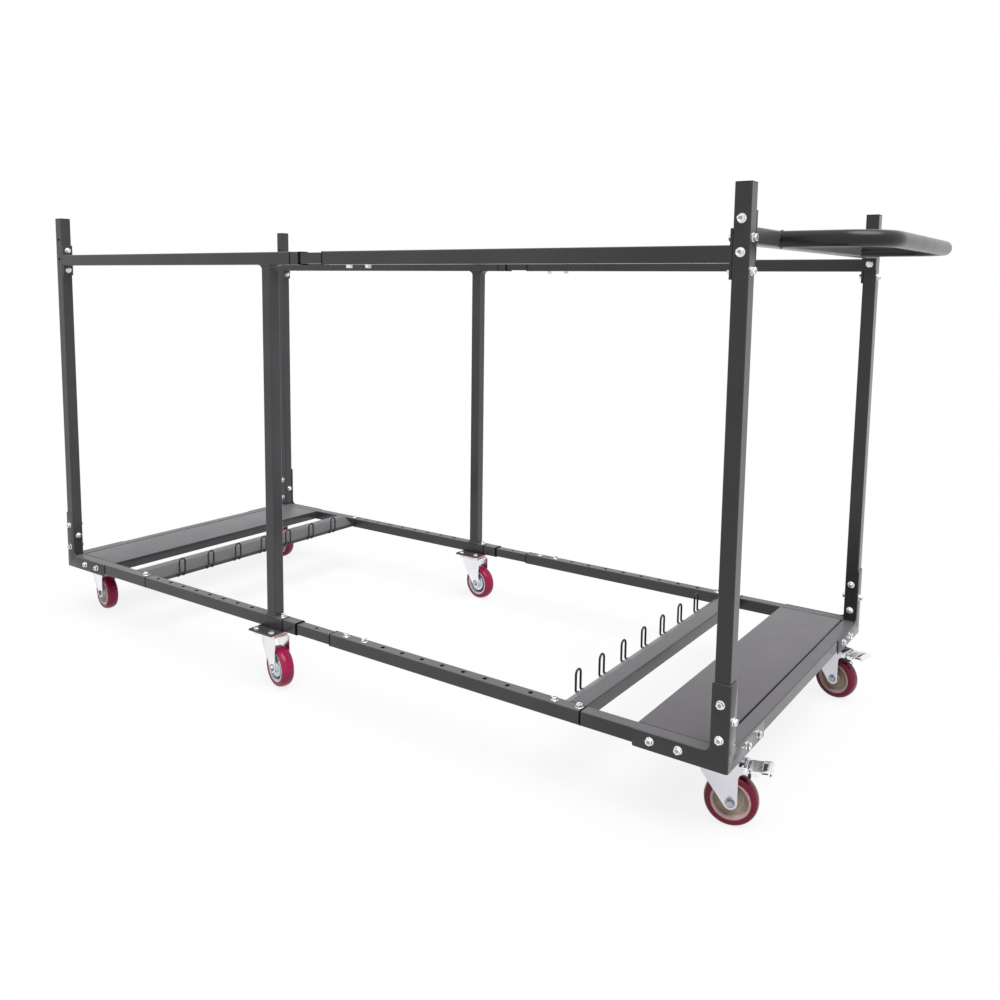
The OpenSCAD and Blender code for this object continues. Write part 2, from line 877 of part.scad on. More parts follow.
// Bolts of one bracket, the near +X corner
module bracket_bolts() {
    px = x_right - tube / 2;
    grip = bracket_t + tube;
    for (z = post_bolt_z) translate([px, y_near - bracket_t, z]) face_near() bolt_and_nut(grip);
    translate([x_right + bracket_t, rail_y, end_bolt_z]) face_right() bolt_and_nut(grip);
    for (d = rail_bolt_d) {
        translate([x_right - d, y_near - bracket_t, rail_z]) face_near() bolt_and_nut(grip);
        translate([x_right + bracket_t, y_near + d, rail_z]) face_right() bolt_and_nut(grip);
    }
}

// Bolts that hold a top rail's end plate, the near +X corner
module top_rail_bolts() {
    for (s = [-1, 1]) translate([x_right, rail_y, top_rail_z + s * plate_bolt_gap / 2])
        face_right() bolt_and_nut(tube + end_plate_t);
}

module handle_bolts() {
    for (s = [-1, 1]) translate([x_right - tube / 2, y_near, cross_z + s * plate_bolt_gap / 2])
        face_near() bolt_and_nut(tube + end_plate_t);
}

// Bolts that hold a caster to its mounting plate from above
module caster_bolts_above() {
    for (h = plate_holes) translate([h[0], h[1], rail_z0]) bolt_and_nut(mount_t + plate_t);
}

// Bolts that screw a caster up into a base corner
module caster_bolts_below() {
    for (h = plate_holes) translate([h[0], h[1], plate_z0]) mirror([0, 0, 1]) bolt(plate_t + mount_t + wall);
}

module left_bolts() {
    color(zinc) placed() both_sides() {
        end(-1) {
            bracket_bolts();
            top_rail_bolts();
            translate([corner_caster_x, corner_caster_y, 0]) caster_bolts_below();
        }
        translate([left_lock_x, rail_y, rail_top]) bolt(tapped_len);
        translate([mid_lock_x, rail_y, rail_top]) bolt(tapped_len);
        translate([mid_x, rail_y, 0]) caster_bolts_above();
    }
}

module right_bolts() {
    color(zinc) placed() both_sides() {
        bracket_bolts();
        top_rail_bolts();
        handle_bolts();
        translate([corner_caster_x, corner_caster_y, 0]) caster_bolts_below();
        for (x = spigot_bolt_x) translate([x, rail_y, rail_top]) bolt(tapped_len);
        for (x = clamp_x) translate([x, rail_y, rail_top]) bolt(clamp_len);
        for (x = top_clamp_x) translate([x, rail_y, top_rail_z - tube / 2])
            mirror([0, 0, 1]) bolt(clamp_len);
    }
}

// Casters, each drawn round its own swivel axis

// Top plate with the fixed race and the riveted kingpin
module caster_plate() {
    difference() {
        translate([-plate_l / 2, -plate_w / 2, plate_z0]) cube([plate_l, plate_w, plate_t]);
        for (h = plate_holes) translate([h[0], h[1], plate_z0 - cut])
            cylinder(h = plate_t + 2 * cut, r = hole_r);
    }
    translate([0, 0, race_z0]) cylinder(h = plate_z0 - race_z0, r = race_r);
    pin_z0 = crown_z0 - swivel_gap;
    translate([0, 0, pin_z0]) cylinder(h = race_z0 - pin_z0, r = kingpin_r);
    translate([0, 0, pin_z0 - kingpin_head_t]) cylinder(h = kingpin_head_t, r = kingpin_r + kingpin_lip);
}

module left_caster_plates() {
    color(zinc) placed() both_sides() {
        translate([-corner_caster_x, corner_caster_y, 0]) caster_plate();
        translate([mid_x, rail_y, 0]) caster_plate();
    }
}

module right_caster_plates() {
    color(zinc) placed() both_sides() translate([corner_caster_x, corner_caster_y, 0]) caster_plate();
}

// Outline of a fork's cheek in the X-Z plane
module cheek_outline(braked) {
    toe_x = caster_trail;
    toe_z = wheel_r - fork_toe * sin(toe_angle);
    polygon([
        [-fork_half, crown_z1], [-fork_half, crown_z1 - fork_drop],
        [toe_x - fork_toe * cos(toe_angle), toe_z], [toe_x, toe_z],
        [toe_x + fork_toe, wheel_r], [toe_x + fork_toe, crown_z1]
    ]);
    translate([toe_x, wheel_r]) circle(fork_toe);
    if (braked) {
        translate([0, pedal_z - pedal_pin_r - ear_wall])
            square([pedal_x, crown_z1 - pedal_z + pedal_pin_r + ear_wall]);
        translate([pedal_x, pedal_z]) circle(pedal_pin_r + ear_wall);
    }
}

module fork(braked) {
    difference() {
        union() {
            translate([-fork_half, -fork_in, crown_z0])
                cube([fork_half + caster_trail + fork_toe, 2 * fork_in, crown_t]);
            for (s = [-1, 1]) translate([0, s * (fork_in + fork_t / 2) + fork_t / 2, 0])
                rotate([90, 0, 0]) linear_extrude(fork_t) cheek_outline(braked);
        }
        translate([0, 0, crown_z0 - cut]) cylinder(h = crown_t + 2 * cut, r = kingpin_r + kingpin_gap);
        translate([caster_trail, 0, wheel_r]) rotate([90, 0, 0])
            cylinder(h = 4 * fork_out, r = axle_r + axle_gap, center = true);
        if (braked) translate([pedal_x, 0, pedal_z]) rotate([90, 0, 0])
            cylinder(h = 4 * fork_out, r = pedal_pin_r + pedal_gap, center = true);
    }
}

module axle() {
    translate([caster_trail, 0, wheel_r]) {
        translate([0, -fork_out - hex_h, 0]) rotate([-90, 0, 0])
            cylinder(h = hex_h, d = hex_af / cos(30), $fn = 6);
        translate([0, fork_out, 0]) rotate([-90, 0, 0])
            cylinder(h = nut_h, d = hex_af / cos(30), $fn = 6);
        translate([0, -fork_out, 0]) rotate([-90, 0, 0]) cylinder(h = 2 * fork_out, r = axle_r);
    }
}

module wheel_core() {
    translate([caster_trail, 0, wheel_r]) rotate([90, 0, 0]) rotate_extrude() {
        translate([axle_r + axle_gap, -hub_w / 2]) square([hub_r - axle_r - axle_gap, hub_w]);
        translate([hub_r - cut, -web_t / 2]) square([core_r - hub_r + cut, web_t]);
        translate([core_r - rim_t, -tread_w / 2 + rim_in]) square([rim_t, tread_w - 2 * rim_in]);
    }
}

module wheel_tread() {
    w = tread_w / 2;
    translate([caster_trail, 0, wheel_r]) rotate([90, 0, 0]) rotate_extrude() {
        translate([core_r, -w]) square([tread_t - tread_r, tread_w]);
        translate([core_r, -w + tread_r]) square([tread_t, tread_w - 2 * tread_r]);
        intersection() {
            translate([wheel_r - tread_r, -w]) square([tread_r, tread_w]);
            for (s = [-1, 1]) translate([wheel_r - tread_r, s * (w - tread_r)]) circle(tread_r);
        }
    }
}

// Brake pedal with its pivot pin and the shoe under it
module pedal() {
    translate([pedal_x, 0, pedal_z]) {
        rotate([90, 0, 0]) cylinder(h = 2 * fork_out, r = pedal_pin_r, center = true);
        rotate([90, 0, 0]) cylinder(h = pedal_w, r = pedal_pin_r + barrel_wall, center = true);
        translate([shoe_off, -pedal_w / 2, -shoe_len])
            cube([shoe_t, pedal_w, shoe_len + pedal_t / 2]);
        rotate([0, -pedal_tilt, 0]) {
            translate([0, -pedal_w / 2, 0]) cube([pedal_reach, pedal_w, pedal_t]);
            translate([pedal_tread_in, -pedal_tread_w / 2, 0])
                cube([pedal_reach - pedal_tread_in, pedal_tread_w, pedal_t]);
            translate([pedal_reach - pedal_t, -pedal_tread_w / 2, -pedal_lip])
                cube([pedal_t, pedal_tread_w, pedal_lip]);
        }
    }
}

// Moves a caster to its place and turn: at the left, middle or right, on side s
module at_left(s) {
    turn = s < 0 ? near_left_turn : far_left_turn;
    placed() translate([-corner_caster_x, -s * corner_caster_y, 0]) rotate([0, 0, turn]) children();
}

module at_mid(s) {
    turn = s < 0 ? near_mid_turn : far_mid_turn;
    placed() translate([mid_x, -s * rail_y, 0]) rotate([0, 0, turn]) children();
}

module at_right(s) {
    turn = s < 0 ? near_right_turn : far_right_turn;
    placed() translate([corner_caster_x, -s * corner_caster_y, 0]) rotate([0, 0, turn]) children();
}

module near_left_fork() { color(zinc) at_left(-1) fork(false); }
module near_left_axle() { color(zinc) at_left(-1) axle(); }
module near_left_core() { color(cream) at_left(-1) wheel_core(); }
module near_left_tread() { color(maroon) at_left(-1) wheel_tread(); }
module far_left_fork() { color(zinc) at_left(1) fork(false); }
module far_left_axle() { color(zinc) at_left(1) axle(); }
module far_left_core() { color(cream) at_left(1) wheel_core(); }
module far_left_tread() { color(maroon) at_left(1) wheel_tread(); }
module near_mid_fork() { color(zinc) at_mid(-1) fork(false); }
module near_mid_axle() { color(zinc) at_mid(-1) axle(); }
module near_mid_core() { color(cream) at_mid(-1) wheel_core(); }
module near_mid_tread() { color(maroon) at_mid(-1) wheel_tread(); }
module far_mid_fork() { color(zinc) at_mid(1) fork(false); }
module far_mid_axle() { color(zinc) at_mid(1) axle(); }
module far_mid_core() { color(cream) at_mid(1) wheel_core(); }
module far_mid_tread() { color(maroon) at_mid(1) wheel_tread(); }
module near_right_fork() { color(zinc) at_right(-1) fork(true); }
module near_right_axle() { color(zinc) at_right(-1) axle(); }
module near_right_core() { color(cream) at_right(-1) wheel_core(); }
module near_right_tread() { color(maroon) at_right(-1) wheel_tread(); }
module far_right_fork() { color(zinc) at_right(1) fork(true); }
module far_right_axle() { color(zinc) at_right(1) axle(); }
module far_right_core() { color(cream) at_right(1) wheel_core(); }
module far_right_tread() { color(maroon) at_right(1) wheel_tread(); }
module near_right_pedal() { color(zinc) at_right(-1) pedal(); }
module far_right_pedal() { color(zinc) at_right(1) pedal(); }

left_base_frame();
left_deck();
left_hook_bar();
left_table_hooks();
near_left_post();
far_left_post();
left_post_caps();
left_brackets();
near_left_rail();
far_left_rail();
near_mid_post();
far_mid_post();
near_left_top_rail();
far_left_top_rail();
rail_sliders();
top_sliders();
left_bolts();
left_caster_plates();
right_base_frame();
right_deck();
right_hook_bar();
right_table_hooks();
near_right_post();
far_right_post();
right_post_caps();
right_brackets();
near_right_rail();
far_right_rail();
near_right_top_rail();
far_right_top_rail();
handle_cross_tube();
push_handle();
right_bolts();
right_caster_plates();
near_left_fork();
near_left_axle();
near_left_core();
near_left_tread();
far_left_fork();
far_left_axle();
far_left_core();
far_left_tread();
near_mid_fork();
near_mid_axle();
near_mid_core();
near_mid_tread();
far_mid_fork();
far_mid_axle();
far_mid_core();
far_mid_tread();
near_right_fork();
near_right_axle();
near_right_core();
near_right_tread();
far_right_fork();
far_right_axle();
far_right_core();
far_right_tread();
near_right_pedal();
far_right_pedal();
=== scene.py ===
import bpy, bmesh, math
from mathutils import Matrix, Vector


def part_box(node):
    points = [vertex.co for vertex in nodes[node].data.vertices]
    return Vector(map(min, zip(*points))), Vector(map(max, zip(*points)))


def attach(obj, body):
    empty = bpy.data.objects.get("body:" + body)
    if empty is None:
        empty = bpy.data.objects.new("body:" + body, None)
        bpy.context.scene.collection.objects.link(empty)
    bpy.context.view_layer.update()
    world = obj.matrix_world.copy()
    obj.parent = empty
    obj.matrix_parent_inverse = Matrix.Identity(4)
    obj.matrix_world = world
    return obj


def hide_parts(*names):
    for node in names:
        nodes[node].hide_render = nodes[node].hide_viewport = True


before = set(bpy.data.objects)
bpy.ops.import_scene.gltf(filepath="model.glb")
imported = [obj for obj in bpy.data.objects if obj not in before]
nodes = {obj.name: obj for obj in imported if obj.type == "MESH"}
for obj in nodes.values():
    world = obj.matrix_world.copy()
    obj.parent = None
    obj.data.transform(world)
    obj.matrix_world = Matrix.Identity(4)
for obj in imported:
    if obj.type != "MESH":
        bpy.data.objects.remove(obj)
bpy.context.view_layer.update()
mm = 0.001
# lines of the tube frame in mm, from the middle of its length and up from the floor
tubes = {"end": 1040, "side": 440, "post": 1025, "rail": 425, "midPost": -143, "half": 15, "railTop": 177,
         "railMid": 162, "topLow": 1044, "topMid": 1059, "handle": 1090, "capSeat": 1177}
midShift = tubes["end"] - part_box("near_right_post")[1].x / mm  # to the middle of the whole trolley
acrossX, acrossY, acrossZ = Vector((1, 0, 0)), Vector((0, 1, 0)), Vector((0, 0, 1))


def at(x, y, z):
    return Vector(((x - midShift) * mm, y * mm, z * mm))


def flat(x, y, z):
    return Vector((x, y, z)) * mm


# Working on one piece at a time

def clearPick():
    if bpy.context.object and bpy.context.object.mode != "OBJECT":
        bpy.ops.object.mode_set(mode="OBJECT")
    bpy.ops.object.select_all(action="DESELECT")


def take(*objs):
    clearPick()
    for obj in objs:
        obj.select_set(True)
    bpy.context.view_layer.objects.active = objs[0]
    return objs[0]


def begin(name, op, scale=(1, 1, 1), **how):
    clearPick()
    op(**how)
    obj = bpy.context.object
    obj.name = obj.data.name = name
    obj.scale = scale
    bpy.ops.object.transform_apply(location=True, rotation=True, scale=True)
    return obj


def block(name, lo, hi):
    return begin(name, bpy.ops.mesh.primitive_cube_add, size=1, location=(lo + hi) / 2, scale=hi - lo)


def outline(name, points, fill="NGON"):  # a ring with its corners moved onto a drawn outline
    obj = begin(name, bpy.ops.mesh.primitive_circle_add, vertices=len(points), fill_type=fill)
    for corner, point in zip(obj.data.vertices, points):
        corner.co = point
    obj.data.update()
    return obj


def edit(obj):
    take(obj)
    bpy.ops.object.mode_set(mode="EDIT")


def leave():
    bpy.ops.object.mode_set(mode="OBJECT")


def pick(kind, test):
    bpy.ops.mesh.select_mode(type=kind)
    bpy.ops.mesh.select_all(action="DESELECT")
    mesh = bpy.context.edit_object.data
    shape = bmesh.from_edit_mesh(mesh)
    for part in {"VERT": shape.verts, "EDGE": shape.edges, "FACE": shape.faces}[kind]:
        if test(part):
            part.select_set(True)
    shape.select_flush_mode()
    bmesh.update_edit_mesh(mesh)


def mid(part):
    return sum((v.co for v in part.verts), Vector()) / len(part.verts)


def along(edge, way):
    return abs((edge.verts[1].co - edge.verts[0].co).normalized().dot(way)) > 0.999


def draw(way):
    bpy.ops.mesh.extrude_region_move(TRANSFORM_OT_translate={"value": way})


def tidyFaces(obj, gap=0.00001):
    edit(obj)
    bpy.ops.mesh.select_all(action="SELECT")
    bpy.ops.mesh.remove_doubles(threshold=gap)
    bpy.ops.mesh.normals_make_consistent(inside=False)
    leave()


def modify(obj, kind, **how):
    take(obj)
    mod = obj.modifiers.new(kind.lower(), kind)
    for key, value in how.items():
        setattr(mod, key, value)
    bpy.ops.object.modifier_apply(modifier=mod.name)


def soften(obj, width, steps=2, angle=35):
    modify(obj, "BEVEL", width=width * mm, segments=steps, limit_method="ANGLE",
           angle_limit=math.radians(angle))


def thicken(obj, thick):
    modify(obj, "SOLIDIFY", thickness=thick * mm, offset=0, use_even_offset=True)


def roundCorners(corners, steps=6):  # corners as (across, up, radius)
    ring = []
    for i, (a, b, radius) in enumerate(corners):
        here = Vector((a, b))
        if not radius:
            ring.append(here)
            continue
        back = (Vector(corners[i - 1][:2]) - here).normalized()
        ahead = (Vector(corners[(i + 1) % len(corners)][:2]) - here).normalized()
        half = back.angle(ahead) / 2
        centre = here + (back + ahead).normalized() * (radius / math.sin(half))
        first = here + back * (radius / math.tan(half)) - centre
        last = here + ahead * (radius / math.tan(half)) - centre
        turn = first.angle_signed(last)
        for k in range(steps + 1):
            ring.append(centre + Matrix.Rotation(-turn * k / steps, 2) @ first)
    return ring


def spun(name, profile, steps, centre, axis, place):  # a closed section turned once round an axis
    obj = outline(name, [place(*p) for p in profile], "NOTHING")
    edit(obj)
    bpy.ops.mesh.select_all(action="SELECT")
    bpy.ops.mesh.spin(steps=steps, angle=math.tau, center=centre, axis=axis, use_auto_merge=True)
    leave()
    tidyFaces(obj)
    return obj


def sweep(name, start, heading, radius, sides, moves):  # a round bar, drawn out and bent in turn
    turn = heading.to_track_quat("Z", "Y").to_euler()
    obj = begin(name, bpy.ops.mesh.primitive_circle_add, vertices=sides, radius=radius,
                fill_type="NGON", location=start, rotation=turn)
    edit(obj)
    bpy.ops.mesh.select_mode(type="FACE")
    bpy.ops.mesh.select_all(action="SELECT")
    for move in moves:
        if isinstance(move, Vector):
            draw(move)
        else:
            centre, axis, angle, steps = move
            bpy.ops.mesh.spin(steps=steps, angle=math.radians(angle), center=centre, axis=axis)
    leave()
    tidyFaces(obj)
    return obj


def stamp(source, name, place):  # a copy with a mesh of its own
    mesh = source.data.copy()
    mesh.transform(place)
    if place.determinant() < 0:
        mesh.flip_normals()
    obj = bpy.data.objects.new(name, mesh)
    bpy.context.scene.collection.objects.link(obj)
    return obj


def joined(name, parts):
    obj = take(*parts)
    bpy.ops.object.join()
    obj.name = obj.data.name = name
    return obj


def discard(*objs):
    for obj in objs:
        bpy.data.objects.remove(obj)


def aimed(place, outward, turn):
    lean = outward.to_track_quat("Z", "Y").to_matrix().to_4x4()
    return Matrix.Translation(place) @ lean @ Matrix.Rotation(turn, 4, "Z")


def fit(obj, body, slot, finish, *replaced, angle=35):
    take(obj)
    bpy.ops.object.shade_smooth_by_angle(angle=math.radians(angle))
    if finish:
        obj.data.materials.clear()
        obj.data.materials.append(finish)
    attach(obj, body)
    if replaced:
        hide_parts(*replaced)
    return obj


# Finishes

class Tone:
    def __init__(self, tree, socket=None):
        self.tree, self.socket = tree, socket

    def node(self, kind, settings, sockets, out=0):
        made = self.tree.nodes.new(kind)
        for key, value in settings.items():
            setattr(made, key, value)
        for key, value in sockets.items():
            if isinstance(value, Tone):
                self.tree.links.new(value.socket, made.inputs[key])
            else:
                made.inputs[key].default_value = value
        return Tone(self.tree, made.outputs[out])

    def sum(self, sign, a, b):
        return self.node("ShaderNodeMath", {"operation": sign}, {0: a, 1: b})

    def __add__(self, other):
        return self.sum("ADD", self, other)

    def __sub__(self, other):
        return self.sum("SUBTRACT", self, other)

    def __rsub__(self, other):
        return self.sum("SUBTRACT", other, self)

    def __mul__(self, other):
        return self.sum("MULTIPLY", self, other)

    __radd__, __rmul__ = __add__, __mul__


def step(tone, low, high):  # 0 below low, 1 above high
    return tone.node("ShaderNodeMapRange", {"interpolation_type": "SMOOTHSTEP"},
                     {"Value": tone, "From Min": low, "From Max": high})


def noise(paint, scale, detail=3, stretch=None):
    where = paint.node("ShaderNodeTexCoord", {}, {}, "Object")
    if stretch:
        where = paint.node("ShaderNodeVectorMath", {"operation": "MULTIPLY"}, {0: where, 1: stretch})
    return paint.node("ShaderNodeTexNoise", {}, {"Vector": where, "Scale": scale, "Detail": detail}, "Fac")


def blendColour(mask, under, over):
    def full(c):
        return c if isinstance(c, Tone) else (*c, 1)
    return mask.node("ShaderNodeMix", {"data_type": "RGBA"}, {0: mask, 6: full(under), 7: full(over)}, 2)


def edges(paint, width):  # 1 along sharp edges, 0 on the flats
    bent = paint.node("ShaderNodeBevel", {"samples": 4}, {"Radius": width})
    plain = paint.node("ShaderNodeNewGeometry", {}, {}, "Normal")
    same = paint.node("ShaderNodeVectorMath", {"operation": "DOT_PRODUCT"}, {0: bent, 1: plain}, "Value")
    return step(1 - same, 0.02, 0.16)


def finishOf(name, base, rough, height, strength, normal=None, **plain):
    mat = bpy.data.materials.new(name)
    mat.use_nodes = True
    paint = Tone(mat.node_tree)
    shader = mat.node_tree.nodes["Principled BSDF"]
    for key, value in plain.items():
        shader.inputs[key.replace("_", " ")].default_value = value
    sockets = {"Base Color": base(paint), "Roughness": rough(paint)}
    bump = {"Height": height(paint), "Strength": strength, "Distance": 0.0002}
    if normal:
        bump["Normal"] = normal(paint)
    sockets["Normal"] = paint.node("ShaderNodeBump", {}, bump)
    for key, tone in sockets.items():
        mat.node_tree.links.new(tone.socket, shader.inputs[key])
    return mat


def mottled(under, over, scale, wearAndGlint=None, edgeMarkWidth=0.0012):
    def base(paint):
        cloud = step(noise(paint, scale), 0.3, 0.7)
        colour = blendColour(cloud, under, over)
        if wearAndGlint:
            # lighter patches along sharp edges: partly wear, partly a painted highlight
            ridge = edges(paint, edgeMarkWidth) * step(noise(paint, 60), 0.42, 0.62)
            colour = blendColour(ridge * 0.5, colour, wearAndGlint)
        return colour
    return base


def varied(low, high, scale):
    return lambda paint: low + step(noise(paint, scale), 0.25, 0.75) * (high - low)


def grain(scale, detail=2, stretch=None):
    return lambda paint: noise(paint, scale, detail, stretch)


def rounded(width):
    return lambda paint: paint.node("ShaderNodeBevel", {"samples": 4}, {"Radius": width})


def placeOn(paint, axis):  # how far along one axis of the trolley
    where = paint.node("ShaderNodeTexCoord", {}, {}, "Object")
    return paint.node("ShaderNodeSeparateXYZ", {}, {"Vector": where}, axis)


def dustAndTopLight(paint):  # painted light on the faces that look up, paler as lit from above, with a dusty roughness; not on the plates under the rails, which lie in shade
    facing = paint.node("ShaderNodeNewGeometry", {}, {}, "Normal")
    up = paint.node("ShaderNodeSeparateXYZ", {}, {"Vector": facing}, "Z")
    bare = step(placeOn(paint, "Z"), 0.150, 0.158)
    return step(up, 0.45, 0.95) * bare * (0.86 + noise(paint, 25) * 0.14)


def coatColour(paint):
    # mottled coat with lighter edges, partly wear and partly painted highlight
    mottledCoat = mottled((0.046, 0.042, 0.047), (0.056, 0.052, 0.058), 9, (0.09, 0.084, 0.09))(paint)
    paintedShade = step(placeOn(paint, "X"), 0.45, 0.90) * 0.6  # painted shade: darker towards the handle end, where less light falls
    shadedCoat = blendColour(paintedShade, mottledCoat, (0.012, 0.011, 0.012))
    # painted light: the faces that look up turn paler, as lit from above
    return blendColour(dustAndTopLight(paint), shadedCoat, (0.135, 0.128, 0.138))


def coatRough(paint):
    return varied(0.20, 0.27, 14)(paint) + dustAndTopLight(paint) * 0.22


def plated(name, under, over, wearAndGlint):  # zinc with a fine upright grain and lighter edges, partly wear and partly painted highlight
    return finishOf(name, mottled(under, over, 18, wearAndGlint, 0.0006), varied(0.24, 0.32, 30),
                    grain(320, 3, (1, 1, 6)), 0.04, rounded(0.0005), Metallic=1)


def moulded(name, under, over, low, high):  # plain nylon of the wheel cores
    return finishOf(name, mottled(under, over, 40), varied(low, high, 60), grain(600), 0.1)


frameCoat = finishOf("powder_coat", coatColour, coatRough, grain(900, 3), 0.07,
                     rounded(0.0009), Specular_IOR_Level=0.46,
                     Sheen_Weight=0.34, Sheen_Roughness=0.34, Sheen_Tint=(0.98, 0.94, 1, 1))
gripCoat = finishOf("grip_coat", mottled((0.016, 0.014, 0.016), (0.021, 0.019, 0.021), 9),
                    varied(0.24, 0.30, 14), grain(900, 3), 0.06, Specular_IOR_Level=0.4)
zincPlate = plated("bright_zinc", (0.64, 0.635, 0.685), (0.71, 0.705, 0.75), (0.90, 0.90, 0.92))
whiteZinc = plated("white_zinc", (0.85, 0.855, 0.89), (0.91, 0.915, 0.94), (0.96, 0.96, 0.97))
# darker zinc: painted shade on the axle bolts; the end casters' top plates and races use it too
axleZinc = finishOf("axle_zinc", mottled((0.30, 0.30, 0.35), (0.48, 0.48, 0.54), 90),
                    varied(0.2, 0.3, 60), grain(500), 0.05, rounded(0.0006), Metallic=1)
boltZinc = finishOf("bolt_zinc", mottled((0.78, 0.78, 0.80), (0.88, 0.88, 0.90), 90),
                    varied(0.14, 0.22, 60), grain(500), 0.03, Metallic=1)
# darker zinc for the dished middle of the bolt heads: painted shade
shadedBoltFace = finishOf("shaded_bolt_face", mottled((0.28, 0.28, 0.29), (0.42, 0.42, 0.43), 140),
                    varied(0.3, 0.42, 60), grain(500), 0.06, Metallic=1)
copperRace = finishOf("copper_wash", mottled((0.70, 0.46, 0.43), (0.85, 0.63, 0.59), 60),
                      varied(0.25, 0.4, 80), grain(400), 0.1, rounded(0.0005), Metallic=1)
wirePaint = finishOf("hook_paint", mottled((0.008, 0.008, 0.009), (0.014, 0.013, 0.014), 40),
                     varied(0.28, 0.42, 50), grain(700), 0.1)
capPlastic = finishOf("cap_plastic", mottled((0.012, 0.012, 0.013), (0.019, 0.018, 0.019), 60),
                      varied(0.42, 0.55, 90), grain(1500), 0.14)
# near black, for the painted shade in the tube seams and rail holes
paintedShadeBlack = finishOf("painted_shade_black", mottled((0.002, 0.002, 0.002), (0.004, 0.004, 0.004), 60),
                     varied(0.7, 0.8, 90), grain(1500), 0.1, Specular_IOR_Level=0.05)
treadRubber = finishOf("maroon_polyurethane", mottled((0.19, 0.005, 0.030), (0.245, 0.007, 0.042), 30),
                       varied(0.2, 0.3, 60), grain(500), 0.06, Specular_IOR_Level=0.3)
treadBright = finishOf("bright_maroon", mottled((0.40, 0.011, 0.072), (0.48, 0.016, 0.096), 30),
                       varied(0.12, 0.2, 60), grain(500), 0.06, Specular_IOR_Level=0.26)
coreTan = moulded("tan_core", (0.64, 0.43, 0.40), (0.74, 0.53, 0.50), 0.4, 0.55)
coreDull = moulded("dull_web", (0.42, 0.35, 0.27), (0.52, 0.45, 0.36), 0.45, 0.6)
coreDark = moulded("shaded_web", (0.07, 0.06, 0.06), (0.11, 0.10, 0.10), 0.45, 0.6)
corePale = finishOf("pale_core", mottled((0.90, 0.86, 0.87), (0.96, 0.93, 0.94), 40),
                    varied(0.2, 0.3, 60), grain(600), 0.06, Specular_IOR_Level=0.9, Coat_Weight=0.5)
blueZinc = finishOf("blue_zinc", mottled((0.52, 0.62, 0.70), (0.64, 0.73, 0.80), 50),
                    varied(0.24, 0.36, 60), grain(400), 0.1, rounded(0.0005), Metallic=1)
print("finishes mixed")

# Hex flange bolts and nuts

bolt = {"flange": 8.2, "rim": 0.9, "rise": 0.8, "hex": 7.2, "head": 5.5, "low": 2.2, "nut": 4.9, "shank": 4.0,
        "skirt": 1.7, "sunk": 0.7, "dull": 4, "chamfer": 1.0, "crown": 0.5, "land": 1.3, "dish": 0.5,
        "thread": 9, "threadMid": 3.6}
boltAt = {"bracket": 2.5, "corner": (204, 270), "end": 237, "base": (92, 149), "pair": 28,  # on the frame
          "plateX": (-27, 27), "plateY": (-38, 38), "platePin": 139.5, "midPlate": 147,
          "through": 32.5, "bare": 34, "thin": 7.5,  # what each nut grips
          "right": (730, 672.7, 157, 99.7), "left": (-677, -116), "top": (116, 173.3)}  # through the rails
casterX, casterY = 997, 353  # swivel axes of the end casters


def hexPart(name, height, dimple):
    skirt = begin(name, bpy.ops.mesh.primitive_cylinder_add, vertices=28, radius=bolt["flange"] * mm,
                  depth=bolt["rim"] * mm, location=flat(0, 0, bolt["rim"] / 2))
    edit(skirt)
    pick("FACE", lambda f: f.normal.z > 0.9)
    bpy.ops.mesh.inset(thickness=bolt["skirt"] * mm, depth=bolt["rise"] * mm)
    leave()
    tall = height + bolt["sunk"]
    hexagon = begin("hex", bpy.ops.mesh.primitive_cylinder_add, vertices=6, radius=bolt["hex"] * mm,
                    depth=tall * mm, location=flat(0, 0, bolt["rim"] + tall / 2))
    edit(hexagon)
    pick("FACE", lambda f: f.normal.z > 0.9)
    bpy.ops.mesh.inset(thickness=bolt["chamfer"] * mm, depth=bolt["crown"] * mm)
    bpy.ops.mesh.inset(thickness=bolt["land"] * mm, depth=0)
    bpy.ops.mesh.inset(thickness=bolt["dish"] * mm, depth=-dimple * mm)
    leave()
    soften(hexagon, 0.25, 1, 45)
    for obj in (skirt, hexagon):
        obj.data.materials.append(boltZinc)
        obj.data.materials.append(shadedBoltFace)
    for face in hexagon.data.polygons:  # the dished middle of the head, rougher, and painted darker as shade
        face.material_index = int(face.normal.z > 0.9 and face.center.xy.length < bolt["dull"] * mm)
    return joined(name, [skirt, hexagon])


boltHead = hexPart("boltHead", bolt["head"], 0.4)
lowHead = hexPart("lowHead", bolt["low"], 0.3)
boltNut = hexPart("boltNut", bolt["nut"], 0.2)
threadEnd = begin("threadEnd", bpy.ops.mesh.primitive_cylinder_add, vertices=16, radius=bolt["shank"] * mm,
                  depth=bolt["thread"] * mm, location=flat(0, 0, bolt["threadMid"]))
soften(threadEnd, 0.7, 1)
threadEnd.data.materials.append(boltZinc)
boltNut = joined("boltNut", [boltNut, threadEnd])


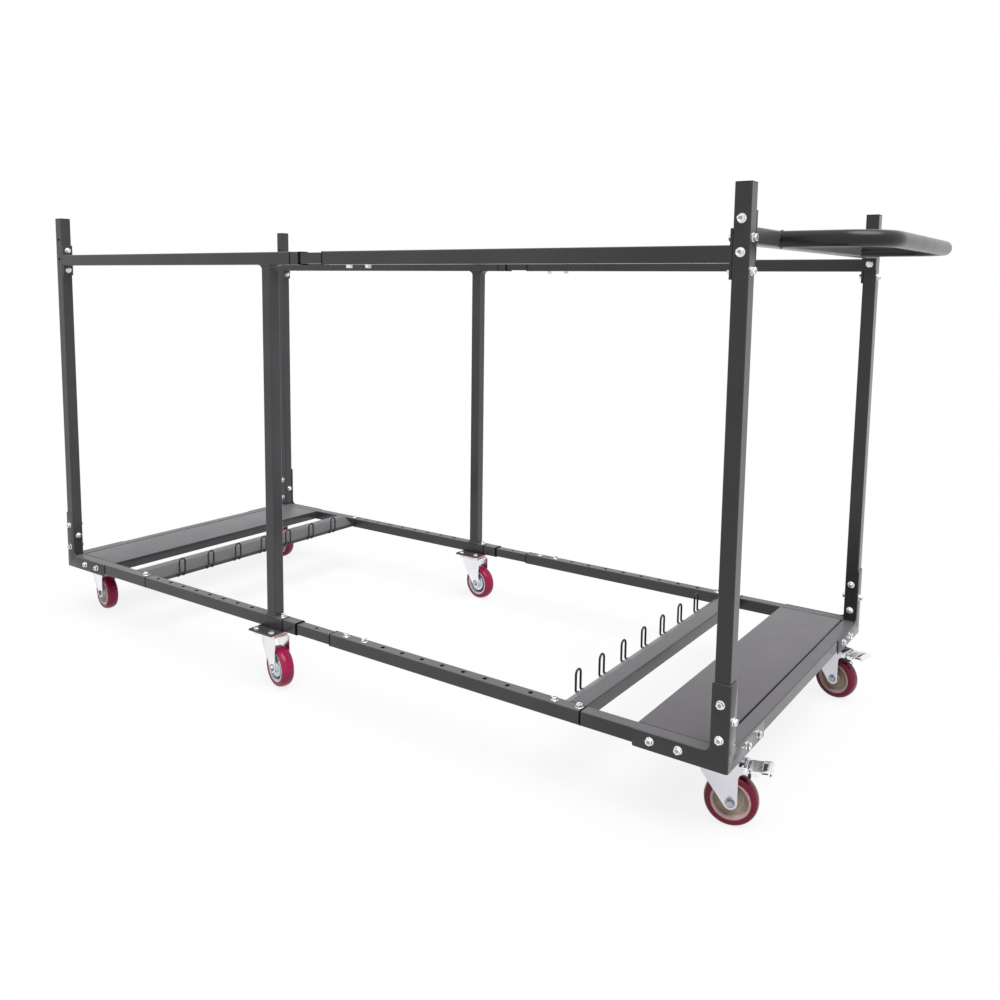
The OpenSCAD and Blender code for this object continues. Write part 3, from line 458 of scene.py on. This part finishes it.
def boltSeats(end, handleEnd):  # heads of one half: place, way out, grip of the nut
    seats = []
    onSide, onEnd = tubes["side"] + boltAt["bracket"], tubes["end"] + boltAt["bracket"]
    through, bare = boltAt["through"], boltAt["bare"]
    for side in (-1, 1):
        out, lean, railY = acrossX * end, acrossY * side, tubes["rail"] * side
        for z in boltAt["corner"]:
            seats.append((at(tubes["post"] * end, onSide * side, z), lean, through))
        seats.append((at(onEnd * end, railY, boltAt["end"]), out, through))
        for d in boltAt["base"]:
            seats.append((at((tubes["end"] - d) * end, onSide * side, tubes["railMid"]), lean, through))
            seats.append((at(onEnd * end, (tubes["side"] - d) * side, tubes["railMid"]), out, through))
        for s in (-boltAt["pair"], boltAt["pair"]):
            seats.append((at(tubes["end"] * end, railY, tubes["topMid"] + s), out, bare))
            if handleEnd:
                seats.append((at(tubes["post"] * end, tubes["side"] * side, tubes["handle"] + s), lean, bare))
        for dx in boltAt["plateX"]:
            for dy in boltAt["plateY"]:
                seats.append((at(casterX * end + dx, casterY * side + dy, boltAt["platePin"]), -acrossZ, 0))
                if not handleEnd:
                    midPlate = at(tubes["midPost"] + dx, railY + dy, boltAt["midPlate"])
                    seats.append((midPlate, acrossZ, boltAt["thin"]))
        for x in boltAt["right"] if handleEnd else boltAt["left"]:
            seats.append((at(x, railY, tubes["railTop"]), acrossZ, 0))
        if handleEnd:
            for x in boltAt["top"]:
                seats.append((at(x, railY, tubes["topLow"]), -acrossZ, 0))
    return seats


for half, end, node in (("left_half", -1, "left_bolts"), ("right_half", 1, "right_bolts")):
    parts = []
    for i, (place, way, nutGrip) in enumerate(boltSeats(end, end > 0)):
        head = lowHead if nutGrip == boltAt["thin"] else boltHead  # the middle plates have flat heads
        parts.append(stamp(head, "head", aimed(place, way, 0.65 * i)))
        if nutGrip:
            parts.append(stamp(boltNut, "nut", aimed(place - way * nutGrip * mm, -way, 0.4 * i)))
    fit(joined(node + "_hex", parts), half, "zinc", None, node, angle=25)
print("bolts and nuts set")

# Casters: drawn round a swivel axis at zero, then copied to the six places

caster = {"trail": 21, "axle": 51, "plate": (36, 47.5), "plateLow": 139.5, "plateTop": 143, "corner": 9,
          "crownTop": 131, "cheek": 20.5, "bend": 5, "sheet": 3, "toe": 13, "back": -35, "front": 34}
pedal = {"pinX": 46, "pinZ": 118, "ear": 7, "reach": 44, "wide": 34, "tread": 46, "plate": 46, "rise": 3,
         "tilt": 4, "roll": 3.6, "cheek": 8}
hubCentre = flat(caster["trail"], 0, caster["axle"])
otherSide = Matrix.Scale(-1, 4, acrossY)


def swivelled(name, section, steps):  # turned round the swivel axis, section as (radius, height)
    return spun(name, section, steps, Vector(), acrossZ, lambda r, z: flat(r, 0, z))


def rolled(name, section, steps, centre=hubCentre):  # turned round the axle, section as (radius, side)
    return spun(name, section, steps, centre, acrossY, lambda r, y: centre + flat(r, y, 0))


plateX, plateY = caster["plate"]
topPlate = block("topPlate", flat(-plateX, -plateY, caster["plateLow"]),
                 flat(plateX, plateY, caster["plateTop"]))
edit(topPlate)
pick("EDGE", lambda e: along(e, acrossZ))
bpy.ops.mesh.bevel(offset=caster["corner"] * mm, segments=6, affect="EDGES")
leave()
soften(topPlate, 0.6, 2)

race = swivelled("race", [(0.1, 139.6), (31.6, 139.6), (32.6, 139.2), (33, 138.2), (33, 136.4),
                          (32.2, 135.6), (30.4, 135.3), (30.4, 134.7), (32, 134.4), (32.6, 133.6),
                          (32.4, 132.2), (31.4, 131.3), (0.1, 131.3)], 48)
kingpin = swivelled("kingpin", [(0.1, 131.4), (6.9, 131.4), (6.9, 126.7), (11, 126.5), (10.6, 124.6),
                                (8.6, 123.1), (5, 122.7), (0.1, 122.7)], 32)


def arc(centre, radius, first, turn, steps):  # points on a part of a circle, angles in degrees
    angles = [math.radians(first + turn * k / steps) for k in range(steps + 1)]
    return [Vector(centre) + Vector((math.cos(a), math.sin(a))) * radius for a in angles]


def makeFork(name, braked):
    bend = caster["bend"]
    top = caster["crownTop"] - caster["sheet"] / 2 - bend
    toe = arc((caster["trail"], caster["axle"]), caster["toe"], 216.4, 143.6, 12)
    corners = [(caster["back"], top, 0), (caster["back"], 105, 10)] + [(p.x, p.y, 0) for p in toe]
    if braked:  # an ear for the pedal's pin
        ear = arc((pedal["pinX"], pedal["pinZ"]), pedal["ear"], -90, 158, 10)
        corners += [(caster["front"], 111, 11)] + [(p.x, p.y, 0) for p in ear[:-1]] + [(48.6, top, 0)]
    corners.append((caster["front"], top, 0))
    cheek = outline(name, [flat(p.x, caster["cheek"], p.y) for p in roundCorners(corners)])
    edit(cheek)
    pick("EDGE", lambda e: along(e, acrossX) and mid(e).z > (top - 0.1) * mm and mid(e).x < 20 * mm)
    bpy.ops.mesh.spin(steps=5, angle=math.radians(-90), axis=acrossX,
                      center=flat(0, caster["cheek"] - bend, top))
    draw(Vector((0, -(caster["cheek"] - bend) * mm, 0)))
    leave()
    modify(cheek, "MIRROR", use_axis=(False, True, False), merge_threshold=0.0001)
    tidyFaces(cheek)
    thicken(cheek, caster["sheet"])
    soften(cheek, 0.5, 2)
    return cheek


plainFork, brakeFork = makeFork("plainFork", False), makeFork("brakeFork", True)

axleHead = begin("axleHead", bpy.ops.mesh.primitive_cylinder_add, vertices=6, radius=7.5 * mm, depth=5 * mm,
                 location=hubCentre + flat(0, -25, 0), rotation=(math.pi / 2, 0.3, 0))
edit(axleHead)
pick("FACE", lambda f: f.normal.y < -0.9)
bpy.ops.mesh.inset(thickness=1 * mm, depth=0.5 * mm)
leave()
soften(axleHead, 0.25, 1, 45)
axleNut = stamp(axleHead, "axleNut", otherSide)
washer = rolled("washer", [(4, -22), (9.5, -22), (9.8, -22.4), (9.5, -22.9), (4, -22.9)], 32)
washerFar = stamp(washer, "washerFar", otherSide)
pinBody = rolled("pinBody", [(0.1, -22), (4, -22), (4, 22), (0.1, 22)], 20)
axleBolt = joined("axleBolt", [axleHead, axleNut, washer, washerFar, pinBody])

wheel = {"seat": 38, "shoulder": 41, "crown": 10, "half": 16}
crown = [(wheel["seat"], -15.4), (wheel["shoulder"], -15.9)]
for k in range(19):  # the running face, a little fuller than a circle
    a = math.radians(-84 + 168 * k / 18)
    crown.append((wheel["shoulder"] + wheel["crown"] * max(math.cos(a), 0) ** 0.72,
                  wheel["half"] * math.copysign(abs(math.sin(a)) ** 0.9, a)))
crown += [(wheel["shoulder"], 15.9), (wheel["seat"], 15.4)]
tread = rolled("tread", crown, 72)


def bothSides(section):  # half a section, then the same half on the other side
    return section + [(r, -y) for r, y in reversed(section)]


hub = rolled("hub", bothSides([(4.06, 17.4), (4.7, 18), (12.6, 18), (13.6, 17.3), (14, 16.2),
                               (15.2, 4.2)]), 64)
rim = rolled("rim", bothSides([(31.6, 4.2), (32.2, 13.4), (33, 14.6), (34, 15), (37.2, 15), (37.9, 14.4),
                               (38, 13.5)]), 64)
web = rolled("web", bothSides([(14.4, 5), (19, 5), (20, 6.2), (24.6, 6.2), (25.6, 5), (32, 5)]), 64)
cover = rolled("cover", [(14.2, 8), (14.2, 12.4), (16, 13.2), (22, 13.4), (24.2, 12.6), (25, 10.6), (25.2, 8),
                         (24.4, 8), (24.2, 10.4), (22, 12.4), (16.4, 12.2), (15, 11.6), (15, 8)], 64)
coverFar = stamp(cover, "coverFar", otherSide)
cover = joined("cover", [cover, coverFar])

places = {"near_left": (-casterX, -casterY), "far_left": (-casterX, casterY),
          "near_mid": (tubes["midPost"], -tubes["rail"]), "far_mid": (tubes["midPost"], tubes["rail"]),
          "near_right": (casterX, -casterY), "far_right": (casterX, casterY)}
turns = {"near_left": -11, "far_left": 2, "near_mid": -16, "far_mid": -10,
         "near_right": 14, "far_right": -12}  # as the photograph shows each one
# finishes of rim, web, hub, tread and fork
looks = {"left": (corePale, coreTan, corePale, treadBright, whiteZinc),
         "mid": (corePale, coreDark, corePale, treadBright, whiteZinc),
         "right": (coreTan, coreDull, coreDull, treadRubber, zincPlate)}
for which, (x, y) in places.items():
    stand = Matrix.Translation(at(x, y, 0))
    move = stand @ Matrix.Rotation(math.radians(turns[which]), 4, "Z")
    spotName = which.split("_")[1]
    half = "right_half" if spotName == "right" else "left_half"
    body, roll = which + "_caster", which + "_wheel"
    plates = half.split("_")[0] + "_caster_plates"
    plateLook = copperRace if spotName == "mid" else axleZinc
    fit(stamp(topPlate, which + "_top_plate", stand), half, "zinc", plateLook, plates)
    fit(stamp(race, which + "_race", stand), half, "zinc", plateLook, plates, angle=50)
    fit(stamp(kingpin, which + "_kingpin", stand), half, "zinc", zincPlate, plates, angle=50)
    fork = brakeFork if spotName == "right" else plainFork
    rimLook, webLook, hubLook, treadLook, forkLook = looks[spotName]
    fit(stamp(fork, which + "_fork_cheeks", move), body, "zinc", forkLook, which + "_fork")
    fit(stamp(axleBolt, which + "_axle_bolt", move), body, "zinc", axleZinc, which + "_axle", angle=25)
    fit(stamp(tread, which + "_tread_ring", move), roll, "tread", treadLook, which + "_tread", angle=60)
    fit(stamp(rim, which + "_rim", move), roll, "wheel_core", rimLook, which + "_core", angle=45)
    fit(stamp(web, which + "_web", move), roll, "wheel_core", webLook, which + "_core", angle=45)
    fit(stamp(hub, which + "_hub", move), roll, "wheel_core", hubLook, which + "_core", angle=45)
    if spotName == "mid":
        fit(stamp(cover, which + "_cover", move), roll, "wheel_core", blueZinc, which + "_core", angle=45)
print("casters set")

# Brake pedals

pivot = flat(pedal["pinX"], 0, pedal["pinZ"])
treadle = begin("treadle", bpy.ops.mesh.primitive_grid_add, x_subdivisions=14, y_subdivisions=8, size=1,
                location=pivot + flat(21, 0, pedal["rise"]), scale=flat(pedal["plate"], pedal["wide"], 1))
edit(treadle)
pick("FACE", lambda f: 30 * mm < mid(f).x - pivot.x < 38 * mm and abs(mid(f).y) < 13 * mm)  # the window
bpy.ops.mesh.delete(type="FACE")
for low, high, sink in ((8, 33, -0.7), (11, 29, -0.7), (15, 26, -0.4)):  # the dip under the toe
    pick("VERT", lambda v: low * mm < v.co.x - pivot.x < high * mm)
    bpy.ops.transform.translate(value=flat(0, 0, sink))
pick("VERT", lambda v: v.co.x - pivot.x > 10 * mm)  # wider outside the fork
bpy.ops.transform.resize(value=(1, pedal["tread"] / pedal["wide"], 1), center_override=pivot)
pick("EDGE", lambda e: len(e.link_faces) == 1 and abs(mid(e).y) > 16 * mm and mid(e).x < pivot.x + 23 * mm)
draw(flat(0, 0, -pedal["cheek"]))
pick("EDGE", lambda e: along(e, acrossY) and mid(e).x > pivot.x + (pedal["reach"] - 0.1) * mm)
bpy.ops.mesh.spin(steps=9, angle=math.radians(-200), axis=acrossY,
                  center=pivot + flat(pedal["reach"], 0, pedal["rise"] - pedal["roll"]))
leave()
tidyFaces(treadle)
thicken(treadle, 2)
soften(treadle, 0.5, 2)
lean = Matrix.Rotation(math.radians(-pedal["tilt"]), 4, "Y")
lean = Matrix.Translation(pivot) @ lean @ Matrix.Translation(-pivot)
treadle.data.transform(lean)
windowShade = block("windowShade", pivot + flat(28, -19, -3), pivot + flat(40, 19, 0.6))  # black block behind the window: painted shade, the dark seen through the window under the pedal
edit(windowShade)
pick("FACE", lambda f: f.normal.z > 0.9)
bpy.ops.mesh.inset(thickness=1.5 * mm, depth=-0.6 * mm)
leave()
soften(windowShade, 0.5, 2)
windowShade.data.transform(lean)
barrel = rolled("barrel", [(3.1, -17), (4.6, -17), (5, -16.6), (5, 16.6), (4.6, 17), (3.1, 17)], 24, pivot)
rivet = rolled("rivet", [(0.1, -23.4), (2.4, -23.3), (4.2, -22.7), (4.6, -22), (3, -22), (3, 22), (4.6, 22),
                         (4.2, 22.7), (2.4, 23.3), (0.1, 23.4)], 24, pivot)
shoe = block("shoe", pivot + flat(4, -16.5, -16), pivot + flat(10, 16.5, 1.6))
edit(shoe)
pick("EDGE", lambda e: along(e, acrossY) and mid(e).z < pivot.z)
bpy.ops.mesh.bevel(offset=1.6 * mm, segments=3, affect="EDGES")
leave()
soften(shoe, 0.5, 2)
pedalPiece = joined("pedalPiece", [treadle, barrel, rivet])
coil = sweep("coil", pivot + flat(16, -17, -11), acrossX, 0.9 * mm, 10, [
    flat(1, 0, 0), (pivot + flat(17, -17, -15.5), acrossY, 330, 22), flat(-5, 0, 3), flat(-6, -1, 3)])
for which in ("near_right", "far_right"):
    move = Matrix.Translation(at(*places[which], 0)) @ Matrix.Rotation(math.radians(turns[which]), 4, "Z")
    body, node = which + "_brake", which + "_pedal"
    coilSide = Matrix.Diagonal((1, -1 if which == "near_right" else 1, 1, 1))
    fit(stamp(pedalPiece, which + "_treadle", move), body, "zinc", whiteZinc, node)
    # painted shade behind the pedal's window
    fit(stamp(windowShade, which + "_window_shade", move), body, "zinc", capPlastic, node)
    fit(stamp(shoe, which + "_shoe", move), body, "zinc", capPlastic, node)
    fit(stamp(coil, which + "_spring", move @ coilSide), body, "zinc", wirePaint, node, angle=60)
print("pedals set")

# Formed hook bars and their wire loops

bar = {"back": 29, "middle": 161.5, "long": 820, "top": 34.7, "slope": (33.3, -20.6), "lip": 8.4,
       "bend": 2.6, "sheet": 2, "left": -745, "right": 737}
barBack = begin("barBack", bpy.ops.mesh.primitive_plane_add, size=1, location=flat(1, 0, bar["middle"]),
                rotation=(0, math.pi / 2, 0), scale=flat(bar["back"], bar["long"], 1))
edit(barBack)
pick("EDGE", lambda e: along(e, acrossY) and mid(e).z > 170 * mm)
slopeX, slopeZ = bar["slope"]
for way in (flat(bar["top"], 0, 0), flat(slopeX, 0, slopeZ), flat(0, 0, -bar["lip"])):
    draw(way)
pick("EDGE", lambda e: along(e, acrossY) and len(e.link_faces) == 2)
bpy.ops.mesh.bevel(offset=bar["bend"] * mm, segments=4, affect="EDGES")
leave()
tidyFaces(barBack)
thicken(barBack, bar["sheet"])
soften(barBack, 0.3, 1, 60)

loop = {"leg": 76.5, "gap": 10, "foot": 151.5, "inner": 68.5, "bend": 5, "arc": 189.5, "wire": 2.5,
        "pitch": 103}
footTurn = loop["foot"] + loop["bend"]
rise = flat(0, 0, loop["arc"] - footTurn)
bendX = loop["leg"] - loop["bend"]
hairpin = sweep("hairpin", flat(loop["inner"], -loop["gap"], loop["foot"]), acrossX, loop["wire"] * mm, 12, [
    flat(bendX - loop["inner"], 0, 0),
    (flat(bendX, -loop["gap"], footTurn), acrossY, 90, 5), rise,
    (flat(loop["leg"], 0, loop["arc"]), acrossX, 180, 14), -rise,
    (flat(bendX, loop["gap"], footTurn), acrossY, -90, 5), flat(loop["inner"] - bendX, 0, 0)])

coin = begin("coin", bpy.ops.mesh.primitive_uv_sphere_add, segments=10, ring_count=6, radius=mm)
edit(coin)
bpy.ops.mesh.select_all(action="SELECT")
bpy.ops.transform.vertex_random(offset=0.14 * mm, seed=5)
leave()

for half, node, turn in (("left_half", "left", 0), ("right_half", "right", math.pi)):
    move = Matrix.Translation(at(bar[node], 0, 0)) @ Matrix.Rotation(turn, 4, "Z")
    fit(stamp(barBack, node + "_formed_bar", move), half, "frame_paint", frameCoat, node + "_hook_bar")
    loops = []
    for i in range(-3, 4):
        seat = move @ Matrix.Translation(flat(0, loop["pitch"] * i, 0))
        loops.append(stamp(hairpin, "loop", seat))
        for s in (-loop["gap"], loop["gap"]):
            for dx, dz, size in ((69.8, -2.2, 4.0), (70.4, 1.6, 3.4)):  # the weld at each foot
                spot = Matrix.Translation(flat(dx, s * 0.94, loop["foot"] + dz))
                blob = Matrix.Diagonal((size * 0.8, size * 1.15, size, 1))
                loops.append(stamp(coin, "blob", seat @ spot @ blob))
    fit(joined(node + "_hairpins", loops), half, "wire", wirePaint, node + "_table_hooks", angle=50)
print("hook bars and loops set")

# Sheet decks, post caps and corner brackets

deck = {"sheet": 2, "bend": 2.2}
for node, half in (("left_deck", "left_half"), ("right_deck", "right_half")):
    lo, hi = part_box(node)
    size = hi - lo - flat(deck["sheet"], deck["sheet"], 0)
    tray = begin(node + "_tray", bpy.ops.mesh.primitive_plane_add, size=1,
                 location=((lo.x + hi.x) / 2, 0, hi.z - mm), scale=(size.x, size.y, 1))
    edit(tray)
    bpy.ops.mesh.select_mode(type="EDGE")
    bpy.ops.mesh.select_all(action="SELECT")
    draw(Vector((0, 0, lo.z - hi.z + mm)))
    pick("EDGE", lambda e: len(e.link_faces) == 2)
    bpy.ops.mesh.bevel(offset=deck["bend"] * mm, segments=4, affect="EDGES")
    leave()
    tidyFaces(tray)
    thicken(tray, deck["sheet"])
    soften(tray, 0.3, 1, 60)
    fit(tray, half, "frame_paint", frameCoat, node)

halfTube = tubes["half"]
cap = block("cap", flat(-halfTube, -halfTube, 0), flat(halfTube, halfTube, 2))
edit(cap)
pick("EDGE", lambda e: along(e, acrossZ))
bpy.ops.mesh.bevel(offset=3 * mm, segments=5, affect="EDGES")
pick("FACE", lambda f: f.normal.z > 0.9)
bpy.ops.mesh.inset(thickness=4 * mm, depth=0.2 * mm)
leave()
soften(cap, 0.7, 3, 50)
for node, half, end in (("left_post_caps", "left_half", -1), ("right_post_caps", "right_half", 1)):
    pair = []
    for side in (-1, 1):
        place = at(tubes["post"] * end, tubes["rail"] * side, tubes["capSeat"])
        pair.append(stamp(cap, "cap", Matrix.Translation(place)))
    fit(joined(node + "_domed", pair), half, "cap", capPlastic, node)

bracket = {"arm": 183, "leg": 34, "up": 165, "wide": 30, "round": 14, "low": 143, "bend": 2.5, "sheet": 2.5}
arm, leg, wide, tall = -bracket["arm"], bracket["leg"], -bracket["wide"], bracket["up"]
ring = roundCorners([(0, 0, 0), (arm, 0, 3), (arm, leg, 3), (wide, leg, bracket["round"]), (wide, tall, 3),
                     (0, tall, 0)])
cornerX, cornerY = tubes["end"] - bracket["bend"], -tubes["side"] - bracket["sheet"] / 2
bracketSheet = outline("bracketLeg", [flat(cornerX + p.x, cornerY, bracket["low"] + p.y) for p in ring])
edit(bracketSheet)
pick("EDGE", lambda e: along(e, acrossZ) and mid(e).x > (cornerX - 0.5) * mm)
bpy.ops.mesh.spin(steps=3, angle=math.radians(-45), axis=acrossZ,
                  center=flat(cornerX, -tubes["side"] + bracket["bend"], 0))
leave()
corner = flat(tubes["end"], -tubes["side"], 0)  # the other leg is this one with its axes changed over
swap = Matrix(((0, -1, 0, 0), (-1, 0, 0, 0), (0, 0, 1, 0), (0, 0, 0, 1)))
swap = Matrix.Translation(corner) @ swap @ Matrix.Translation(-corner)
bracketSheet = joined("bracketSheet", [bracketSheet, stamp(bracketSheet, "bracketLeg2", swap)])
tidyFaces(bracketSheet, 0.0001)
thicken(bracketSheet, bracket["sheet"])
soften(bracketSheet, 0.4, 2, 50)
for node, half, end in (("left_brackets", "left_half", -1), ("right_brackets", "right_half", 1)):
    pair = []
    for side in (1, -1):
        place = Matrix.Translation(flat(-midShift, 0, 0)) @ Matrix.Diagonal((end, side, 1, 1))
        pair.append(stamp(bracketSheet, "bracket", place))
    fit(joined(node + "_bent", pair), half, "frame_paint", frameCoat, node)
print("decks, caps and brackets set")
discard(boltHead, lowHead, boltNut, topPlate, race, kingpin, plainFork, brakeFork, axleBolt, tread, hub, rim,
        web, cover, pedalPiece, windowShade, shoe, coil, barBack, hairpin, cap, bracketSheet)

# Push handle, painted shade in the tube seams and rail holes, fillets at the middle posts

grip = {"start": 1036, "arm": 280, "bendX": 1146, "bend": 75, "tube": 15}
run = flat(grip["bendX"] - grip["start"], 0, 0)
bendY = grip["arm"] - grip["bend"]
handleStart = at(grip["start"], -grip["arm"], tubes["handle"])
handle = sweep("push_handle_tube", handleStart, acrossX, grip["tube"] * mm, 40, [
    run, (at(grip["bendX"], -bendY, tubes["handle"]), acrossZ, -90, 16),
    flat(0, 2 * bendY, 0), (at(grip["bendX"], bendY, tubes["handle"]), acrossZ, -90, 16), -run])
fit(handle, "right_half", "frame_paint", gripCoat, "push_handle", angle=60)

proud = halfTube + 0.2  # just outside the tube
# black bands round the tube seams: painted shade where the gaps between tube ends are dark
seamShade = block("seamShade", flat(-1, -proud, -proud), flat(1, proud, proud))
edit(seamShade)
pick("EDGE", lambda e: along(e, acrossX))
bpy.ops.mesh.bevel(offset=2.8 * mm, segments=4, affect="EDGES")
leave()
low, high = tubes["railMid"], tubes["topMid"]
# place along the rail, height and length of each
seams = {"left_half": [(-660, low, 1.4), (-103, low, 1.5), (-56.2, low, 2), (-60, high, 1.4),
                       (-30.4, high, 1.6)],
         "right_half": [(740, low, 1.4), (59, low, 1.4), (45, high, 1.4)]}
for half, spots in seams.items():
    parts = []
    for x, z, long in spots:
        for side in (-1, 1):
            place = Matrix.Translation(at(x, tubes["rail"] * side, z))
            parts.append(stamp(seamShade, "seamShade", place @ Matrix.Diagonal((long, 1, 1, 1))))
    fit(joined(half + "_seam_shade_bands", parts), half, "frame_paint", paintedShadeBlack)

# dark dished discs sunk in the rail holes: painted shade inside the holes
setting = {"left": -620, "leftPitch": 55.5, "right": 730, "rightPitch": 57.3, "radius": 5.2, "lip": 1.05,
           "taper": 0.4, "deep": 1.2, "proud": 0.1}
dish = begin("dish", bpy.ops.mesh.primitive_circle_add, vertices=20, radius=setting["radius"] * mm,
             fill_type="NGON")
edit(dish)
bpy.ops.mesh.select_all(action="SELECT")
bpy.ops.mesh.inset(thickness=setting["lip"] * mm, depth=0)
bpy.ops.mesh.inset(thickness=setting["taper"] * mm, depth=-setting["deep"] * mm)
leave()
holes = {"left_half": [setting["left"] + setting["leftPitch"] * i for i in range(8)],
         "right_half": [setting["right"] - setting["rightPitch"] * i for i in range(2, 10)]}
for half, spots in holes.items():
    parts = []
    for x in spots:
        for side in (-1, 1):
            place = at(x, tubes["rail"] * side, tubes["railTop"] + setting["proud"])
            parts.append(stamp(dish, "dish", Matrix.Translation(place)))
    fit(joined(half + "_hole_shades", parts), half, "frame_paint", paintedShadeBlack)

reach = {"base": 11, "top": 15, "wide": 26}


def fillet(name, size):
    hollow = arc((size, size), size, 270, -90, 8)
    section = [Vector((-1, -1)), Vector((size, -1))] + hollow + [Vector((-1, size))]
    obj = outline(name, [flat(p.x, -reach["wide"] / 2, p.y) for p in section])
    edit(obj)
    bpy.ops.mesh.select_all(action="SELECT")
    draw(flat(0, reach["wide"], 0))
    leave()
    tidyFaces(obj)
    soften(obj, 1.2, 3, 60)
    return obj


baseFillet, topFillet = fillet("baseFillet", reach["base"]), fillet("topFillet", reach["top"])
parts = []
for side in (-1, 1):
    place = Matrix.Translation(at(tubes["midPost"] - halfTube, tubes["rail"] * side, tubes["railTop"]))
    parts.append(stamp(baseFillet, "fillet", place @ Matrix.Diagonal((-1, 1, 1, 1))))
    for way in (-1, 1):
        place = at(tubes["midPost"] + halfTube * way, tubes["rail"] * side, tubes["topLow"])
        parts.append(stamp(topFillet, "fillet", Matrix.Translation(place) @ Matrix.Diagonal((way, 1, -1, 1))))
fit(joined("mid_post_fillets", parts), "left_half", "frame_paint", frameCoat, angle=60)
discard(seamShade, dish, baseFillet, topFillet)
print("handle, seamShades and fillets set")

# Welds

weldSize = {"pitch": 2.6, "post": 1.7, "handle": 2}


def bead(start, end, wide):  # overlapping blobs laid along a line
    run = end - start
    count = max(2, round(run.length / mm / weldSize["pitch"]))
    parts = []
    for i in range(count):
        size = wide * (1 + 0.14 * math.sin(2.3 * i + start.x * 90))
        place = Matrix.Translation(start + run * (i + 0.5) / count)
        roll = Matrix.Rotation(i * 1.1, 4, run.normalized())
        parts.append(stamp(coin, "weld", place @ roll @ Matrix.Diagonal((size, size, size, 1))))
    return parts


welds = {"left_half": [], "right_half": []}
square = [(-halfTube, -halfTube), (halfTube, -halfTube), (halfTube, halfTube), (-halfTube, halfTube)]
for side in (-1, 1):
    y = tubes["rail"] * side
    for i, (bx, by) in enumerate(square[1:] + square[:1]):  # round the foot and head of the middle posts
        ax, ay = square[i]
        for z in (tubes["railTop"], tubes["topLow"]):
            welds["left_half"] += bead(at(tubes["midPost"] + ax, y + ay, z),
                                       at(tubes["midPost"] + bx, y + by, z), weldSize["post"])
    ring = arc((grip["arm"] * side, tubes["handle"]), grip["tube"], 0, 360, 12)  # round the handle's ends
    for p, q in zip(ring, ring[1:]):
        welds["right_half"] += bead(at(tubes["end"], p.x, p.y), at(tubes["end"], q.x, q.y),
                                    weldSize["handle"])
for half, parts in welds.items():
    fit(joined(half + "_welds", parts), half, "frame_paint", frameCoat, angle=60)
discard(coin)
print("welds laid")

# CAD nodes that still show, by the ends of their names

nodeLooks = {"_fork": (zincPlate, "zinc"), "_axle": (axleZinc, "zinc"), "_bolts": (boltZinc, "zinc"),
             "_caster_plates": (copperRace, "zinc"), "_pedal": (zincPlate, "zinc"),
             "_hooks": (wirePaint, "wire"), "_caps": (capPlastic, "cap"),
             "_tread": (treadRubber, "tread"), "_core": (coreTan, "wheel_core"),
             "push_handle": (gripCoat, "frame_paint"), "": (frameCoat, "frame_paint")}
for name, node in nodes.items():
    finish, slot = next(look for ending, look in nodeLooks.items() if name.endswith(ending))
    node.data.materials.clear()
    node.data.materials.append(finish)

# Camera, floor and light

camData = bpy.data.cameras.new("camera")
cam = bpy.data.objects.new("camera", camData)
bpy.context.scene.collection.objects.link(cam)
bpy.context.scene.camera = cam
yaw, pitch, tilt = 0.61891, 0.1192, 0.01129  # fitted to the posts and rails of the photograph
ahead = Vector((-math.sin(yaw) * math.cos(pitch), math.cos(yaw) * math.cos(pitch), -math.sin(pitch)))
right = Vector((math.cos(yaw), math.sin(yaw), 0))
up = right.cross(ahead)
rightward = right * math.cos(tilt) + up * math.sin(tilt)
upward = up * math.cos(tilt) - right * math.sin(tilt)
eye = at(1613.15, -1994.53, 1004.34)
turned = Matrix((rightward, upward, -ahead)).transposed().to_4x4()
cam.matrix_world = Matrix.Translation(eye) @ turned
camData.sensor_width, camData.lens = 36, 34.231
camData.shift_x, camData.shift_y = 0.0141, -0.1021

floor = begin("floor", bpy.ops.mesh.primitive_plane_add, size=120)
floorMat = bpy.data.materials.new("pale_floor")
floorMat.use_nodes = True
tree = floorMat.node_tree
tree.nodes.clear()
paint = Tone(tree)


def seenRays(paint):
    path = paint.tree.nodes.new("ShaderNodeLightPath")
    camera, glossy, through = (Tone(paint.tree, path.outputs[f"Is {ray} Ray"])
                               for ray in ("Camera", "Glossy", "Transmission"))
    return camera + glossy + through


tint = blendColour(seenRays(paint), (0.5, 0.5, 0.5), (0.96, 0.96, 0.96))
matt = paint.node("ShaderNodeBsdfDiffuse", {}, {"Color": tint})
glow = paint.node("ShaderNodeEmission", {}, {"Color": (1, 1, 1, 1), "Strength": 1.0})
shown = paint.node("ShaderNodeMixShader", {}, {0: seenRays(paint) * 0.86, 1: matt, 2: glow})
tree.links.new(shown.socket, tree.nodes.new("ShaderNodeOutputMaterial").inputs["Surface"])
floor.data.materials.append(floorMat)

world = bpy.data.worlds.new("studio")
bpy.context.scene.world = world
world.use_nodes = True
tree = world.node_tree
tree.nodes.clear()
paint = Tone(tree)
dim = paint.node("ShaderNodeBackground", {}, {"Color": (1, 1, 1, 1), "Strength": 0.26})
bright = paint.node("ShaderNodeBackground", {}, {"Color": (1, 1, 1, 1), "Strength": 1.0})
shown = paint.node("ShaderNodeMixShader", {}, {0: seenRays(paint), 1: dim, 2: bright})
tree.links.new(shown.socket, tree.nodes.new("ShaderNodeOutputWorld").inputs["Surface"])

sunData = bpy.data.lights.new("soft_key", "SUN")
sunData.energy, sunData.angle = 2.75, math.radians(50)
sun = bpy.data.objects.new("soft_key", sunData)
bpy.context.scene.collection.objects.link(sun)
sun.rotation_euler = Vector((0.33, -0.16, 0.93)).to_track_quat("Z", "Y").to_euler()
bpy.context.scene.view_settings.view_transform = "Standard"
print("camera and light set")
